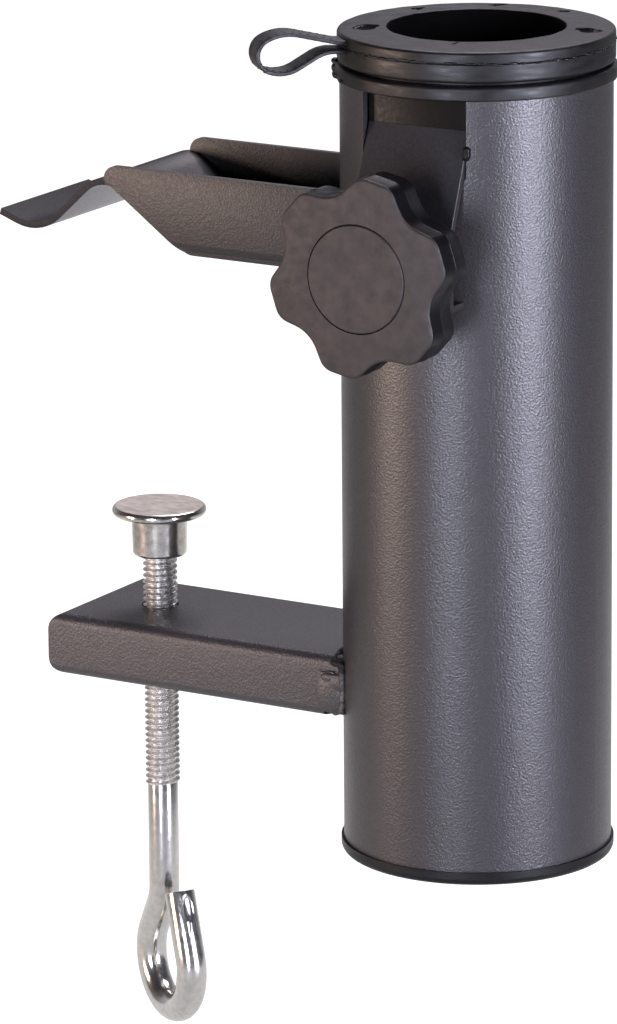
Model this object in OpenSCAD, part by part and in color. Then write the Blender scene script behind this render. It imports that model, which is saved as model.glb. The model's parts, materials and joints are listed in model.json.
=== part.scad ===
// Parasol pole holder that clamps on a balcony rail or a table edge.
// Origin: centre of the steel tube's top end. +Z up, arms along -X, knob along -Y. Millimetres.

/* [Socket tube] */
// Outside diameter of the steel tube
tube_od = 60; // [56:1:80]
// Wall of the steel tube
tube_wall = 1.5; // [1:0.1:2.5]
// Length of the steel tube
tube_len = 173; // [165:1:240]

/* [Base plug] */
// Rim of the base plug beyond the tube's surface
plug_lip = 0.6; // [0.2:0.1:2]
// Height of the base plug's rim
plug_rim_h = 3.1; // [2:0.1:6]
// Depth of the base plug's skirt in the tube
plug_skirt_h = 12; // [6:1:25]
// Wall of the base plug's skirt
plug_wall = 2; // [1.2:0.1:4]
// Rounding of the base plug's lower edge
plug_round = 1.6; // [0.5:0.1:2]

/* [Collar and reducers] */
// Rim of the collar beyond the tube's surface
collar_lip = 1; // [0.4:0.1:2]
// Height of the collar's rim
collar_h = 3.2; // [2.4:0.1:6]
// Depth of the collar's skirt in the tube
collar_skirt_h = 6; // [4:0.5:12]
// Wall of the collar's skirt
collar_wall = 1.4; // [1:0.1:2]
// Rim of the two reducers beyond the tube's surface
reducer_lip = 0.5; // [0.2:0.1:2]
// Height of the outer reducer's rim
outer_rim_h = 4.2; // [3:0.1:6]
// Height of the inner reducer's rim
inner_rim_h = 2.6; // [2.6:0.1:6]
// Shadow gap between the collar and the outer reducer
shadow_gap = 0.6; // [0.2:0.1:1.5]
// Wall of the outer reducer's sleeve
outer_wall = 1.8; // [1.2:0.1:3]
// Wall of the inner reducer's sleeve, which sets the pole bore
inner_wall = 1.6; // [1.2:0.1:4]
// Depth of the outer reducer's sleeve below its rim
outer_sleeve_h = 20; // [10:1:22]
// Depth of the inner reducer's sleeve below its rim
inner_sleeve_h = 22; // [10:1:24]
// Radial clearance between the sleeves
slip = 0.3; // [0.1:0.05:0.6]

/* [Tether strap] */
// Direction of the strap loop round the tube
strap_azimuth = 226; // [200:1:250]
// Width of the strap
strap_w = 7; // [4:0.5:10]
// Thickness of the strap
strap_t = 1.2; // [0.8:0.1:1.6]
// Radius of the strap's round end
strap_loop_r = 4.6; // [4.6:0.2:5.8]
// Straight run of the upper strand
strap_run = 9.5; // [7:0.5:14]

/* [Knob bracket] */
// Width of the bent bracket strip
bracket_w = 25; // [20:0.5:28]
// Thickness of the bracket strip
bracket_t = 1.6; // [1.2:0.1:2.5]
// Depth of the strip's upper fold below the tube's top
bracket_fold_z = 7; // [5:0.5:9]
// Outward slope of the strip below the fold, in degrees
bracket_slope = 21; // [18:0.5:26]
// Face of the strip's land beyond the tube's surface
land_standoff = 3.7; // [3.5:0.1:6]
// Length of the land
land_h = 14.5; // [12:0.5:20]
// Clearance of the notch in the tube round the strip
notch_gap = 0.3; // [0.1:0.1:1]

/* [Knob and clamp bolt] */
// Depth of the knob's axis below the tube's top
knob_z = 35.5; // [35:0.5:40]
// Diameter over the knob's lobes
knob_d = 44; // [38:1:60]
// Number of lobes
knob_lobes = 6; // [5:1:8]
// Depth of the valleys between the lobes
knob_valley = 3.4; // [2:0.1:5]
// Turn of the first lobe
knob_phase = 18; // [0:1:59]
// Thickness of the knob
knob_h = 10; // [9:0.5:16]
// Bevel on the knob's edges
knob_bevel = 1.1; // [0.4:0.1:2]
// Diameter of the cap in the knob's face
cap_d = 23.6; // [19:0.2:28]
// Thickness of the cap
cap_h = 2.2; // [1.2:0.1:3]
// Height of the cap above the knob's face
cap_proud = 0.4; // [0.1:0.1:1]
// Diameter of the clamp bolt and the eye screw
thread_d = 7.94; // [6:0.02:10]
// Width across the flats of the bolt's head and nut
hex_af = 13; // [11:0.5:17]
// Height of the bolt's head
bolt_head_h = 4.5; // [3.5:0.5:5]
// Height of the two nuts
nut_h = 5; // [4:0.5:7]
// Radial clearance of a thread in its nut
thread_gap = 0.08; // [0.02:0.01:0.1]
// Gap behind the knob when the bolt is backed off
knob_gap = 8.6; // [5:0.2:10]
// Diameter of the plastic cap on the bolt's tip
tip_d = 11.5; // [10.5:0.5:14]
// Length of the cap on the bolt's tip
tip_h = 5; // [4:0.5:6]
// End wall of the cap on the bolt's tip
tip_wall = 1.5; // [1:0.1:2.5]

/* [Upper jaw] */
// Width of the jaw's channel
jaw_w = 38; // [30:1:44]
// Thickness of the jaw's sheet
sheet_t = 1.5; // [1:0.1:2.5]
// Height of the channel's walls
jaw_h = 18.5; // [15:0.5:24]
// Depth of the jaw's underside below the tube's top
jaw_drop = 43.5; // [40:0.5:60]
// Outer radius of the channel's folds
jaw_fold_r = 3; // [2.6:0.1:5]
// Distance of the notch's crest from the tube's axis
crest_reach = 85; // [75:1:110]
// Height of the crest over the base of the channel
crest_rise = 13.8; // [11:0.1:16]
// Slope of the ramp up to the crest
ramp_angle = 36; // [30:1:45]
// Slope of the lip down from the crest
lip_angle = 43; // [38:1:50]
// Drop of the lip from the crest to its trough
lip_drop = 11.9; // [9:0.1:15]
// Rise of the lip's free end
tip_angle = 20; // [10:1:30]
// Length of the lip's straight free end
tip_len = 5; // [2:0.5:10]
// Radius of the crest
crest_r = 8; // [5:0.5:10]
// Radius of the trough
trough_r = 10.5; // [6:0.5:12]
// Radius of the fold at the foot of the ramp
ramp_fold_r = 4; // [2:0.5:6]
// Rounding of the walls' upper tips
wall_tip_r = 3.2; // [1:0.1:4]

/* [Lower arm] */
// Width of the arm's box section
arm_w = 38; // [30:1:44]
// Height of the arm's box section
arm_h = 14.3; // [13:0.1:20]
// Wall of the arm's box section
arm_wall = 1.5; // [1:0.1:2.5]
// Outer corner radius of the arm's box section
arm_corner_r = 2.4; // [2:0.1:4]
// Depth of the arm's top below the tube's top
arm_drop = 131; // [125:1:150]
// Distance of the arm's free end from the tube's axis
arm_reach = 102; // [96:1:130]
// Depth of the arm's pressed end cap
end_cap_l = 5; // [4:0.5:8]
// Rounding of the end cap's upper and lower edges
end_cap_r = 4; // [2:0.5:5]

/* [Clamp screw] */
// Distance of the clamp screw from the tube's axis
screw_reach = 83.5; // [75:0.5:90]
// Depth of the pad's face below the tube's top
pad_drop = 107.4; // [100:0.1:110]
// Diameter of the swivel pad
pad_d = 21.6; // [18:0.2:30]
// Thickness of the swivel pad's disc
pad_h = 2.2; // [1.6:0.1:4]
// Diameter of the pad's sleeve
sleeve_d = 12.8; // [12:0.1:16]
// Length of the pad's sleeve
sleeve_h = 9.4; // [8:0.1:12]
// Length of the threaded stretch below the pad
thread_len = 54.6; // [50:0.2:80]
// Diameter of the plain shank
shank_d = 7.05; // [6:0.05:7.5]
// Length of the plain shank above the eye
shank_len = 24.4; // [20:0.2:50]
// Turn of the eye's plane round the screw
eye_azimuth = -33; // [-90:1:90]
// Radius of the eye's round end
eye_r = 11; // [10:0.5:16]
// Kick of the shank away from the eye's open side, in degrees
eye_kick = 32; // [26:1:36]
// Length of the eye's free leg
eye_leg = 15; // [8:0.5:16]

/* [Hidden] */
$fn = 96;

// Clearance between pieces that are pressed or welded together
seat_gap = 0.05;
// Leg of the weld beads at the arms' roots
weld_leg = 2;
// Largest turn of one step along a bend
arc_step = 9;
// Cuts run past a face by this much
past = 1;
// Roundings of the moulded rings' edges
soft_edge = 0.8;
crisp_edge = 0.4;
sleeve_edge = 0.6;
// Clearance of the outer sleeve behind the strip's flange
flange_gap = 0.45;
// Strip's flange below the tube's top
flange_inset = 0.5;
// Reach of a root before the first bend of the strap, and the bends' angles and radius
strap_root = 3;
strap_rise = 16;
strap_fall = 20;
strap_bend_r = 8;
// Knob's outline: lobe width, corner roundings, and depth that the valley's rounding takes back
lobe_share = 126;
lobe_corner_r = 4;
valley_round = 8;
valley_extra = 0.9;
// Turned blank of the knob beyond its lobes
blank_extra = 0.3;
// Edge rounding of the knob's cap
cap_edge = 0.3;
// Start of the jaw's sheet beyond the tube's surface
sheet_lead = 5;
// Straight tip of the jaw's walls below the rounding
wall_tip_flat = 0.2;
// Smallest inner corner of the arm's section
least_corner = 0.5;
// Pad's rim rounding as a share of its thickness, taper and edge of its sleeve
rim_share = 0.48;
sleeve_taper = 0.2;
sleeve_round = 0.8;
// Groove that the pad's crimp turns in
neck_cut = 0.9;
// Edge of the screw's head in the pad
screw_chamfer = 1;
// Eye: bend radius of the kick, length of the kick, closing turn past the kick, and sides of the rod
kick_r = 9;
kick_run = 8.6;
eye_turn = 201;
rod_sides = 20;

tube_r = tube_od / 2;
tube_ri = tube_r - tube_wall;

// The strip's upper flange stands on the chord where its corners meet the tube's inner wall
flange_face = sqrt(pow(tube_ri - notch_gap, 2) - pow(bracket_w / 2, 2));
flange_back = flange_face - bracket_t;
land_face = tube_r + land_standoff;
strip_bend_r = 1.1;
slope_run = (land_face - flange_face) / sin(bracket_slope) - 2 * strip_bend_r * tan(bracket_slope / 2);
// The notch in the tube runs down to the strip's back
notch_back = flange_back - notch_gap / cos(bracket_slope);
notch_depth = bracket_fold_z + (tube_r - notch_back) / tan(bracket_slope);
notch_side = [[notch_back, past], [tube_od, past],
              [tube_od, -bracket_fold_z - (tube_od - notch_back) / tan(bracket_slope)],
              [notch_back, -bracket_fold_z]];

// Sleeves from the bracket inwards
outer_sleeve_r = flange_back - flange_gap;
outer_bore_r = outer_sleeve_r - outer_wall;
inner_sleeve_r = outer_bore_r - slip;
pole_r = inner_sleeve_r - inner_wall;
collar_bore_r = outer_sleeve_r + slip;
rim_r = tube_r + reducer_lip;
outer_rim_z = collar_h + shadow_gap;
inner_rim_z = outer_rim_z + outer_rim_h;
top_z = inner_rim_z + inner_rim_h;

thread_r = thread_d / 2;
bolt_bore_r = thread_r + thread_gap;
hex_r = hex_af / 2 / cos(30);
nut_back = land_face - bracket_t - nut_h;
knob_back = land_face + knob_gap;
knob_face = knob_back + knob_h;
cap_back = knob_face + cap_proud - cap_h;
head_back = cap_back - bolt_head_h - seat_gap;
tip_back = nut_back - 2 * slip;
tip_face = tip_back - tip_h;

arm_bottom = -arm_drop - arm_h;
pad_top = -pad_drop;
sleeve_top = pad_top - pad_h;
sleeve_bottom = sleeve_top - sleeve_h;
crimp_h = 1.2;
neck_r = thread_r - neck_cut;
thread_end = sleeve_bottom - thread_len;
eye_start = thread_end - shank_len;

// A point of a path walked by legs of [straight length, turn, bend radius]
function leg_end(p, a, leg) = p + leg[0] * [cos(a), sin(a)];
function side_of(turn) = turn < 0 ? -1 : 1;
function bend_centre(p, a, leg) = leg_end(p, a, leg) + side_of(leg[1]) * leg[2] * [-sin(a), cos(a)];
function bend_point(p, a, leg, turned) =
    bend_centre(p, a, leg) + side_of(leg[1]) * leg[2] * [sin(a + turned), -cos(a + turned)];
function bend_steps(leg) = max(1, ceil(abs(leg[1]) / arc_step));
function walk_leg(p, a, leg) = concat(
    leg[0] > 0 ? [leg_end(p, a, leg)] : [],
    leg[1] == 0 ? [] : [for (k = [1 : bend_steps(leg)]) bend_point(p, a, leg, leg[1] * k / bend_steps(leg))]);
function walk_rest(p, a, legs, i) = i == len(legs) ? [] : concat(
    walk_leg(p, a, legs[i]),
    walk_rest(bend_point(p, a, legs[i], legs[i][1]), a + legs[i][1], legs, i + 1));
function walk(p, a, legs) = concat([p], walk_rest(p, a, legs, 0));

// Outline of a sheet of even thickness along a path
function unit(v) = v / norm(v);
function left_of(v) = [-v[1], v[0]];
function heading_in(path, i) = unit(path[max(i, 1)] - path[max(i, 1) - 1]);
function heading_out(path, i) = unit(path[min(i, len(path) - 2) + 1] - path[min(i, len(path) - 2)]);
function mitre(path, i) =
    let (m = unit(heading_in(path, i) + heading_out(path, i)))
    left_of(m) / (m * heading_out(path, i));
function sheet_outline(path, t) = concat(
    [for (i = [0 : len(path) - 1]) path[i] + t / 2 * mitre(path, i)],
    [for (i = [len(path) - 1 : -1 : 0]) path[i] - t / 2 * mitre(path, i)]);

// Outline with rounded corners from points of [x, y, corner radius]
function flat(p) = [p[0], p[1]];
function turn_between(a, b) = ((b - a + 540) % 360) - 180;
function round_corner(p0, p1, p2, r) =
    let (u = unit(p0 - p1), v = unit(p2 - p1), half = acos(u * v) / 2,
         c = p1 + unit(u + v) * r / sin(half),
         s = p1 + u * r / tan(half) - c, e = p1 + v * r / tan(half) - c,
         a0 = atan2(s[1], s[0]), sweep = turn_between(a0, atan2(e[1], e[0])),
         n = max(2, ceil(abs(sweep) / arc_step)))
    [for (k = [0 : n]) c + r * [cos(a0 + sweep * k / n), sin(a0 + sweep * k / n)]];
function rounded(pts) = [for (i = [0 : len(pts) - 1])
    each pts[i][2] == 0 ? [flat(pts[i])]
       : round_corner(flat(pts[(i + len(pts) - 1) % len(pts)]), flat(pts[i]),
                      flat(pts[(i + 1) % len(pts)]), pts[i][2])];
function rounded_rect(w, h, r) = rounded([[-w / 2, -h / 2, r], [w / 2, -h / 2, r],
                                          [w / 2, h / 2, r], [-w / 2, h / 2, r]]);

// Extrusions of an outline: along Y from an XZ outline, and along X from a YZ outline
module along_y(w) {
    rotate([90, 0, 0]) linear_extrude(w, center = true) children();
}
module along_x(x0, x1) {
    translate([x0, 0, 0]) rotate([90, 0, 90]) linear_extrude(x1 - x0) children();
}
// Frame of the knob: local +Z points out of the tube along the knob's axis
module knob_frame() {
    translate([0, 0, -knob_z]) rotate([90, 0, 0]) children();
}
// Extrusion across the bent strip, from an outline of distance out of the tube and height
module across_strip(w) {
    rotate([90, 0, -90]) linear_extrude(w, center = true) children();
}
module tube_cut(gap) {
    translate([0, 0, -tube_len - past]) cylinder(r = tube_r + gap, h = tube_len + 2 * past);
}

module socket_tube() {
    color("#3b3c42") difference() {
        translate([0, 0, -tube_len]) cylinder(r = tube_r, h = tube_len);
        translate([0, 0, -tube_len - past]) cylinder(r = tube_ri, h = tube_len + 2 * past);
        across_strip(bracket_w + 2 * notch_gap) polygon(notch_side);
        knob_frame() cylinder(r = hex_r + notch_gap, h = tube_r + past);
    }
}

module base_plug() {
    rim = tube_r + plug_lip;
    skirt = tube_ri - seat_gap;
    outline = rounded([[0, -tube_len - plug_rim_h, 0], [rim, -tube_len - plug_rim_h, plug_round],
                       [rim, -tube_len, 0], [skirt, -tube_len, 0], [skirt, -tube_len + plug_skirt_h, 0],
                       [skirt - plug_wall, -tube_len + plug_skirt_h, 0], [skirt - plug_wall, -tube_len, 0],
                       [0, -tube_len, 0]]);
    color("#1f1e20") rotate_extrude() polygon(outline);
}

module tube_collar() {
    skirt = tube_ri - seat_gap;
    color("#38302d") difference() {
        rotate_extrude() polygon(rounded([
            [collar_bore_r, 0, 0], [skirt - collar_wall, 0, 0], [skirt - collar_wall, -collar_skirt_h, 0],
            [skirt, -collar_skirt_h, 0], [skirt, 0, 0], [tube_r + collar_lip, 0, crisp_edge],
            [tube_r + collar_lip, collar_h, soft_edge], [collar_bore_r, collar_h, 0]]));
        translate([-bracket_w / 2 - notch_gap, -tube_r - past, -collar_skirt_h - past])
            cube([bracket_w + 2 * notch_gap, tube_r, collar_skirt_h + past]);
    }
}

module outer_reducer() {
    seat_r = tube_ri;
    color("#302d2e") rotate_extrude() polygon(rounded([
        [outer_bore_r, collar_h - outer_sleeve_h, 0], [outer_sleeve_r, collar_h - outer_sleeve_h, sleeve_edge],
        [outer_sleeve_r, collar_h, 0], [seat_r, collar_h, 0], [seat_r, outer_rim_z, 0],
        [rim_r, outer_rim_z, soft_edge], [rim_r, inner_rim_z, crisp_edge], [outer_bore_r, inner_rim_z, 0]]));
}

module inner_reducer() {
    color("#353436") rotate_extrude() polygon(rounded([
        [pole_r, inner_rim_z - inner_sleeve_h, 0], [inner_sleeve_r, inner_rim_z - inner_sleeve_h, sleeve_edge],
        [inner_sleeve_r, inner_rim_z, 0], [rim_r, inner_rim_z, crisp_edge],
        [rim_r, top_z, soft_edge], [pole_r, top_z, 0]]));
}

module tether_strap() {
    upper_z = inner_rim_z + strap_t / 2 + crisp_edge;
    legs = [[strap_root, strap_rise, strap_bend_r],
            [strap_run, -180 - strap_rise - strap_fall, strap_loop_r],
            [strap_run + past, strap_fall, strap_bend_r], [strap_root, 0, 0]];
    color("#39373a") rotate([0, 0, strap_azimuth]) difference() {
        along_y(strap_w) polygon(sheet_outline(walk([rim_r - past, upper_z], 0, legs), strap_t));
        cylinder(r = rim_r + seat_gap, h = 4 * top_z, center = true);
    }
}

module knob_bracket() {
    flange_h = bracket_fold_z - flange_inset;
    foot = land_standoff + past;
    legs = [[flange_h - strip_bend_r * tan(bracket_slope / 2), bracket_slope, strip_bend_r],
            [slope_run, -bracket_slope, strip_bend_r], [land_h, -90, strip_bend_r], [foot, 0, 0]];
    top = [flange_face - bracket_t / 2, flange_h - bracket_fold_z];
    strip = sheet_outline(walk(top, -90, legs), bracket_t);
    color("#303036") difference() {
        across_strip(bracket_w) polygon(strip);
        intersection() {
            tube_cut(seat_gap);
            translate([0, 0, -tube_len - notch_depth])
                cube([tube_od, 2 * tube_od, 2 * tube_len], center = true);
        }
        knob_frame() cylinder(r = thread_r + notch_gap, h = land_face + past);
    }
}

module bracket_nut() {
    color("#c8c6c4") knob_frame() difference() {
        translate([0, 0, nut_back]) cylinder(r = hex_r, h = nut_h - seat_gap, $fn = 6);
        cylinder(r = bolt_bore_r, h = land_face);
    }
}

// Outline of the knob: flat lobes with round corners, and round valleys between them
module knob_outline() {
    tip_half = lobe_share / 2 / knob_lobes;
    corner_r = knob_d / 2 / cos(tip_half);
    valley_r = knob_d / 2 - knob_valley - valley_extra;
    polygon(rounded([for (k = [0 : knob_lobes - 1], part = [-1, 1, 2])
        let (a = knob_phase + 360 / knob_lobes * k + (part == 2 ? 180 / knob_lobes : part * tip_half),
             r = part == 2 ? valley_r : corner_r)
        [r * cos(a), r * sin(a), part == 2 ? valley_round : lobe_corner_r]]));
}

module star_knob() {
    turned_r = knob_d / 2 + blank_extra;
    color("#4a4341") knob_frame() difference() {
        intersection() {
            translate([0, 0, knob_back]) linear_extrude(knob_h) knob_outline();
            rotate_extrude() polygon([
                [0, knob_back], [turned_r - knob_bevel, knob_back], [turned_r, knob_back + knob_bevel],
                [turned_r, knob_face - knob_bevel], [turned_r - knob_bevel, knob_face], [0, knob_face]]);
        }
        translate([0, 0, knob_back - past]) cylinder(r = thread_r + seat_gap, h = knob_h);
        translate([0, 0, head_back]) cylinder(r = hex_r + seat_gap, h = knob_h, $fn = 6);
        translate([0, 0, cap_back]) cylinder(r = cap_d / 2 + seat_gap, h = knob_h);
    }
}

module knob_cap() {
    color("#4c4644") knob_frame() rotate_extrude() polygon(rounded([
        [0, cap_back, 0], [cap_d / 2, cap_back, 0], [cap_d / 2, knob_face + cap_proud, cap_edge],
        [0, knob_face + cap_proud, 0]]));
}

module clamp_bolt() {
    color("#c8c6c4") knob_frame() union() {
        translate([0, 0, head_back]) cylinder(r = hex_r, h = bolt_head_h, $fn = 6);
        translate([0, 0, tip_face + tip_wall + thread_gap])
            cylinder(r = thread_r, h = head_back - tip_face - tip_wall);
    }
}

module bolt_tip_cap() {
    color("#1f1e20") knob_frame() rotate_extrude() polygon(rounded([
        [0, tip_face, 0], [tip_d / 2, tip_face, 1], [tip_d / 2, tip_back, 0], [bolt_bore_r, tip_back, 0],
        [bolt_bore_r, tip_face + tip_wall, 0], [0, tip_face + tip_wall, 0]]));
}

// Straight stretches of the jaw's sheet, from the heights that its bends leave over
ramp_run = (crest_rise - (ramp_fold_r + crest_r) * (1 - cos(ramp_angle))) / sin(ramp_angle);
lip_run = (lip_drop - (crest_r + trough_r) * (1 - cos(lip_angle))) / sin(lip_angle);
ramp_foot = crest_reach - (ramp_fold_r + crest_r) * sin(ramp_angle) - ramp_run * cos(ramp_angle);
jaw_base = -jaw_drop + sheet_t / 2;
jaw_top = -jaw_drop + jaw_h;

// Side of the jaw's walls: level top, round tip, and a lower edge along the ramp
module wall_side() {
    tip_drop = wall_tip_r + wall_tip_flat;
    foot = crest_reach - (jaw_h - tip_drop) / tan(ramp_angle);
    polygon(rounded([[0, -jaw_drop, 0], [0, jaw_top, 0], [-crest_reach, jaw_top, wall_tip_r],
                     [-crest_reach, jaw_top - tip_drop, 0], [-foot, -jaw_drop, ramp_fold_r]]));
}

// Channel section of the jaw, open at the top
module channel_section() {
    fold = jaw_fold_r - sheet_t / 2;
    web = jaw_w - sheet_t - 2 * fold;
    rise = jaw_h - jaw_fold_r;
    polygon(sheet_outline(walk([(sheet_t - jaw_w) / 2, jaw_top], -90,
                               [[rise, 90, fold], [web, 90, fold], [rise, 0, 0]]), sheet_t));
}

// Sheet of the jaw: base, ramp, crest, trough and free end of the lip
module jaw_sheet() {
    start = tube_r + sheet_lead;
    legs = [[ramp_foot - start, ramp_angle, ramp_fold_r], [ramp_run, -ramp_angle - lip_angle, crest_r],
            [lip_run, lip_angle + tip_angle, trough_r], [tip_len, 0, 0]];
    mirror([1, 0]) polygon(sheet_outline(walk([start, jaw_base], 0, legs), sheet_t));
}

module upper_jaw() {
    color("#3d3836") difference() {
        union() {
            intersection() {
                along_x(-crest_reach - past, 0) channel_section();
                along_y(2 * jaw_w) wall_side();
            }
            along_y(jaw_w - sheet_t) jaw_sheet();
        }
        tube_cut(seat_gap);
    }
}

// Bead of weld round an arm's root: a band on the tube outside the arm's section
module root_bead(w, z0, z1) {
    intersection() {
        difference() {
            translate([0, 0, z0]) cylinder(r = tube_r + weld_leg, h = z1 - z0);
            tube_cut(seat_gap);
        }
        translate([-tube_od, -w / 2 - weld_leg, z0]) cube([tube_od, w + 2 * weld_leg, z1 - z0]);
    }
}

module jaw_weld() {
    color("#34302f") difference() {
        root_bead(jaw_w, -jaw_drop, jaw_top);
        translate([-tube_od, -jaw_w / 2 - seat_gap, -jaw_drop - seat_gap])
            cube([tube_od, jaw_w + 2 * seat_gap, 2 * jaw_h]);
    }
}

module arm_section(inset) {
    translate([0, -arm_drop - arm_h / 2])
        polygon(rounded_rect(arm_w - 2 * inset, arm_h - 2 * inset, max(arm_corner_r - inset, least_corner)));
}

module lower_arm() {
    end = end_cap_l - arm_reach;
    color("#3d3836") difference() {
        along_x(end, 0) arm_section(0);
        along_x(end - past, past) arm_section(arm_wall);
        tube_cut(seat_gap);
        translate([-screw_reach, 0, arm_bottom - past])
            cylinder(r = thread_r + notch_gap, h = arm_h + 2 * past);
    }
}

module arm_end_cap() {
    inner = end_cap_l - seat_gap - arm_reach;
    color("#3d3836") difference() {
        intersection() {
            along_x(-arm_reach, inner) arm_section(0);
            along_y(2 * arm_w) polygon(rounded([
                [-arm_reach, arm_bottom, end_cap_r], [0, arm_bottom, 0], [0, -arm_drop, 0],
                [-arm_reach, -arm_drop, end_cap_r]]));
        }
        along_x(end_cap_l / 2 - arm_reach, inner + past) arm_section(arm_wall);
    }
}

module arm_nut() {
    top = -arm_drop - arm_wall - seat_gap;
    color("#c8c6c4") translate([-screw_reach, 0, top - nut_h]) difference() {
        translate([-hex_af / 2, -hex_af / 2, 0]) cube([hex_af, hex_af, nut_h]);
        translate([0, 0, -past]) cylinder(r = bolt_bore_r, h = nut_h + 2 * past);
    }
}

module arm_weld() {
    color("#34302f") difference() {
        root_bead(arm_w, arm_bottom - weld_leg, -arm_drop + weld_leg);
        along_x(-tube_od, 0) arm_section(-seat_gap);
    }
}

module bracket_weld() {
    bead_r = 1.4;
    bead_h = 5;
    bead_x = bracket_w / 2 + bead_r / 2;
    color("#1c1b1d") difference() {
        translate([bead_x, -sqrt(pow(tube_r, 2) - pow(bead_x, 2)), -bracket_fold_z - 2 - bead_h])
            cylinder(r = bead_r, h = bead_h);
        tube_cut(seat_gap);
        translate([0, 0, -tube_len]) cube([bracket_w + 2 * seat_gap, 4 * tube_r, 4 * tube_len], center = true);
    }
}

module clamp_pad() {
    rim_r = rim_share * pad_h;
    pad_r = pad_d / 2;
    sleeve_r = sleeve_d / 2;
    bore_r = thread_r + slip;
    lip_r = neck_r + thread_gap;
    color("#c8c6c4") translate([-screw_reach, 0, 0]) rotate_extrude() polygon(rounded([
        [0, pad_top, 0], [pad_r, pad_top, rim_r], [pad_r, sleeve_top, rim_r], [sleeve_r, sleeve_top, 0],
        [sleeve_r - sleeve_taper, sleeve_bottom, sleeve_round], [lip_r, sleeve_bottom, 0],
        [lip_r, sleeve_bottom + crimp_h, 0],
        [bore_r, sleeve_bottom + crimp_h, 0], [bore_r, sleeve_top, 0], [0, sleeve_top, 0]]));
}

// Round rod along a path in the local XY plane: one ring of points at each point of the path
module swept_rod(path, r, sides) {
    last = len(path) - 1;
    rings = [for (i = [0 : last], k = [0 : sides - 1])
        let (across = mitre(path, i), a = 360 * k / sides)
        [path[i][0] + r * cos(a) * across[0], path[i][1] + r * cos(a) * across[1], r * sin(a)]];
    skin = [for (i = [0 : last - 1], k = [0 : sides - 1])
        let (a = i * sides + k, b = i * sides + (k + 1) % sides)
        each [[a, b + sides, b], [a, a + sides, b + sides]]];
    ends = [[for (k = [0 : sides - 1]) k], [for (k = [sides - 1 : -1 : 0]) last * sides + k]];
    polyhedron(rings, concat(skin, ends));
}

module eye_screw() {
    head_bottom = sleeve_bottom + crimp_h + slip;
    head_top = sleeve_top - slip;
    neck_bottom = sleeve_bottom - slip;
    legs = [[shank_len + past, -eye_kick, kick_r], [kick_run, eye_turn + eye_kick, eye_r], [eye_leg, 0, 0]];
    color("#c8c6c4") translate([-screw_reach, 0, 0]) union() {
        rotate_extrude() polygon(rounded([
            [0, thread_end, 0], [thread_r, thread_end, crisp_edge], [thread_r, neck_bottom, crisp_edge],
            [neck_r, neck_bottom, 0], [neck_r, head_bottom, 0], [thread_r, head_bottom, 0],
            [thread_r, head_top, screw_chamfer], [0, head_top, 0]]));
        translate([0, 0, thread_end + past]) rotate([90, 0, eye_azimuth])
            swept_rod(walk([0, 0], -90, legs), shank_d / 2, rod_sides);
    }
}

socket_tube();
base_plug();
tube_collar();
outer_reducer();
inner_reducer();
tether_strap();
knob_bracket();
bracket_nut();
bracket_weld();
star_knob();
knob_cap();
clamp_bolt();
bolt_tip_cap();
upper_jaw();
jaw_weld();
lower_arm();
arm_end_cap();
arm_nut();
arm_weld();
clamp_pad();
eye_screw();
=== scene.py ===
"""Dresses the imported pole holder: coated steel, moulded rings, star knob and zinc-plated eye screw."""
from __future__ import annotations

import json
import logging
import math
import random
from collections.abc import Callable, Iterator, Sequence
from contextlib import contextmanager
from dataclasses import dataclass
from enum import Enum

import bpy
from mathutils import Matrix, Vector

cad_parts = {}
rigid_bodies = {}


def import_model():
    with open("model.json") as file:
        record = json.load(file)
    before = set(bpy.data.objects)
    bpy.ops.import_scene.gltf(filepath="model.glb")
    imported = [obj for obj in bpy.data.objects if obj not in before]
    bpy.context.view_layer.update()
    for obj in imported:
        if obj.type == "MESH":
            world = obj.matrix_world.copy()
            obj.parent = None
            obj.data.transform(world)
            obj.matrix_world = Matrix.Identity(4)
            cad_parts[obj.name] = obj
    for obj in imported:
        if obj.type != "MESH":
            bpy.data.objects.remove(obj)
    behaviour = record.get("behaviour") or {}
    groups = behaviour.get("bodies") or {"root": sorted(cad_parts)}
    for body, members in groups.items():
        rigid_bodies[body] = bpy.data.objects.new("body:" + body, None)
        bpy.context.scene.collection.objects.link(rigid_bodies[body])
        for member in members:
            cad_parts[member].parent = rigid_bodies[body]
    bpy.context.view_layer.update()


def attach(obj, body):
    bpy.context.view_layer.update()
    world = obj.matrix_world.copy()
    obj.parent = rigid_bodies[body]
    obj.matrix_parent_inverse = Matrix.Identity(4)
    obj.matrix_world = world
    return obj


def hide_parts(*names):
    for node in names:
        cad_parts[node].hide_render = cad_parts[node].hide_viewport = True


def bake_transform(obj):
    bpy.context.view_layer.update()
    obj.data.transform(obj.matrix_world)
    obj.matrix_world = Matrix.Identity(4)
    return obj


LOG = logging.getLogger("pole_holder")
MM = 0.001
TURN = 2 * math.pi
Point = tuple[float, float]
Corner = tuple[float, float, float]
Leg = tuple[float, float, float]
Triple = tuple[float, float, float]
FaceTest = Callable[[Vector, Vector], bool]


class Element(Enum):
    """Kinds of mesh elements that can be selected in code."""

    VERTEX = "VERT"
    EDGE = "EDGE"
    FACE = "FACE"


class Body(Enum):
    """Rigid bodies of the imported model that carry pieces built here."""

    HOLDER = "holder"
    SCREW = "screw"
    KNOB = "knob"
    OUTER_RING = "outer_ring"
    INNER_RING = "inner_ring"


# Modelling helpers


def deselect() -> None:
    """Leaves nothing selected, so that an operator acts on its own piece alone."""
    bpy.ops.object.select_all(action="DESELECT")


def activate(obj: bpy.types.Object) -> None:
    """Makes one object the only selected one and the active one."""
    deselect()
    obj.select_set(True)
    bpy.context.view_layer.objects.active = obj


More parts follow.
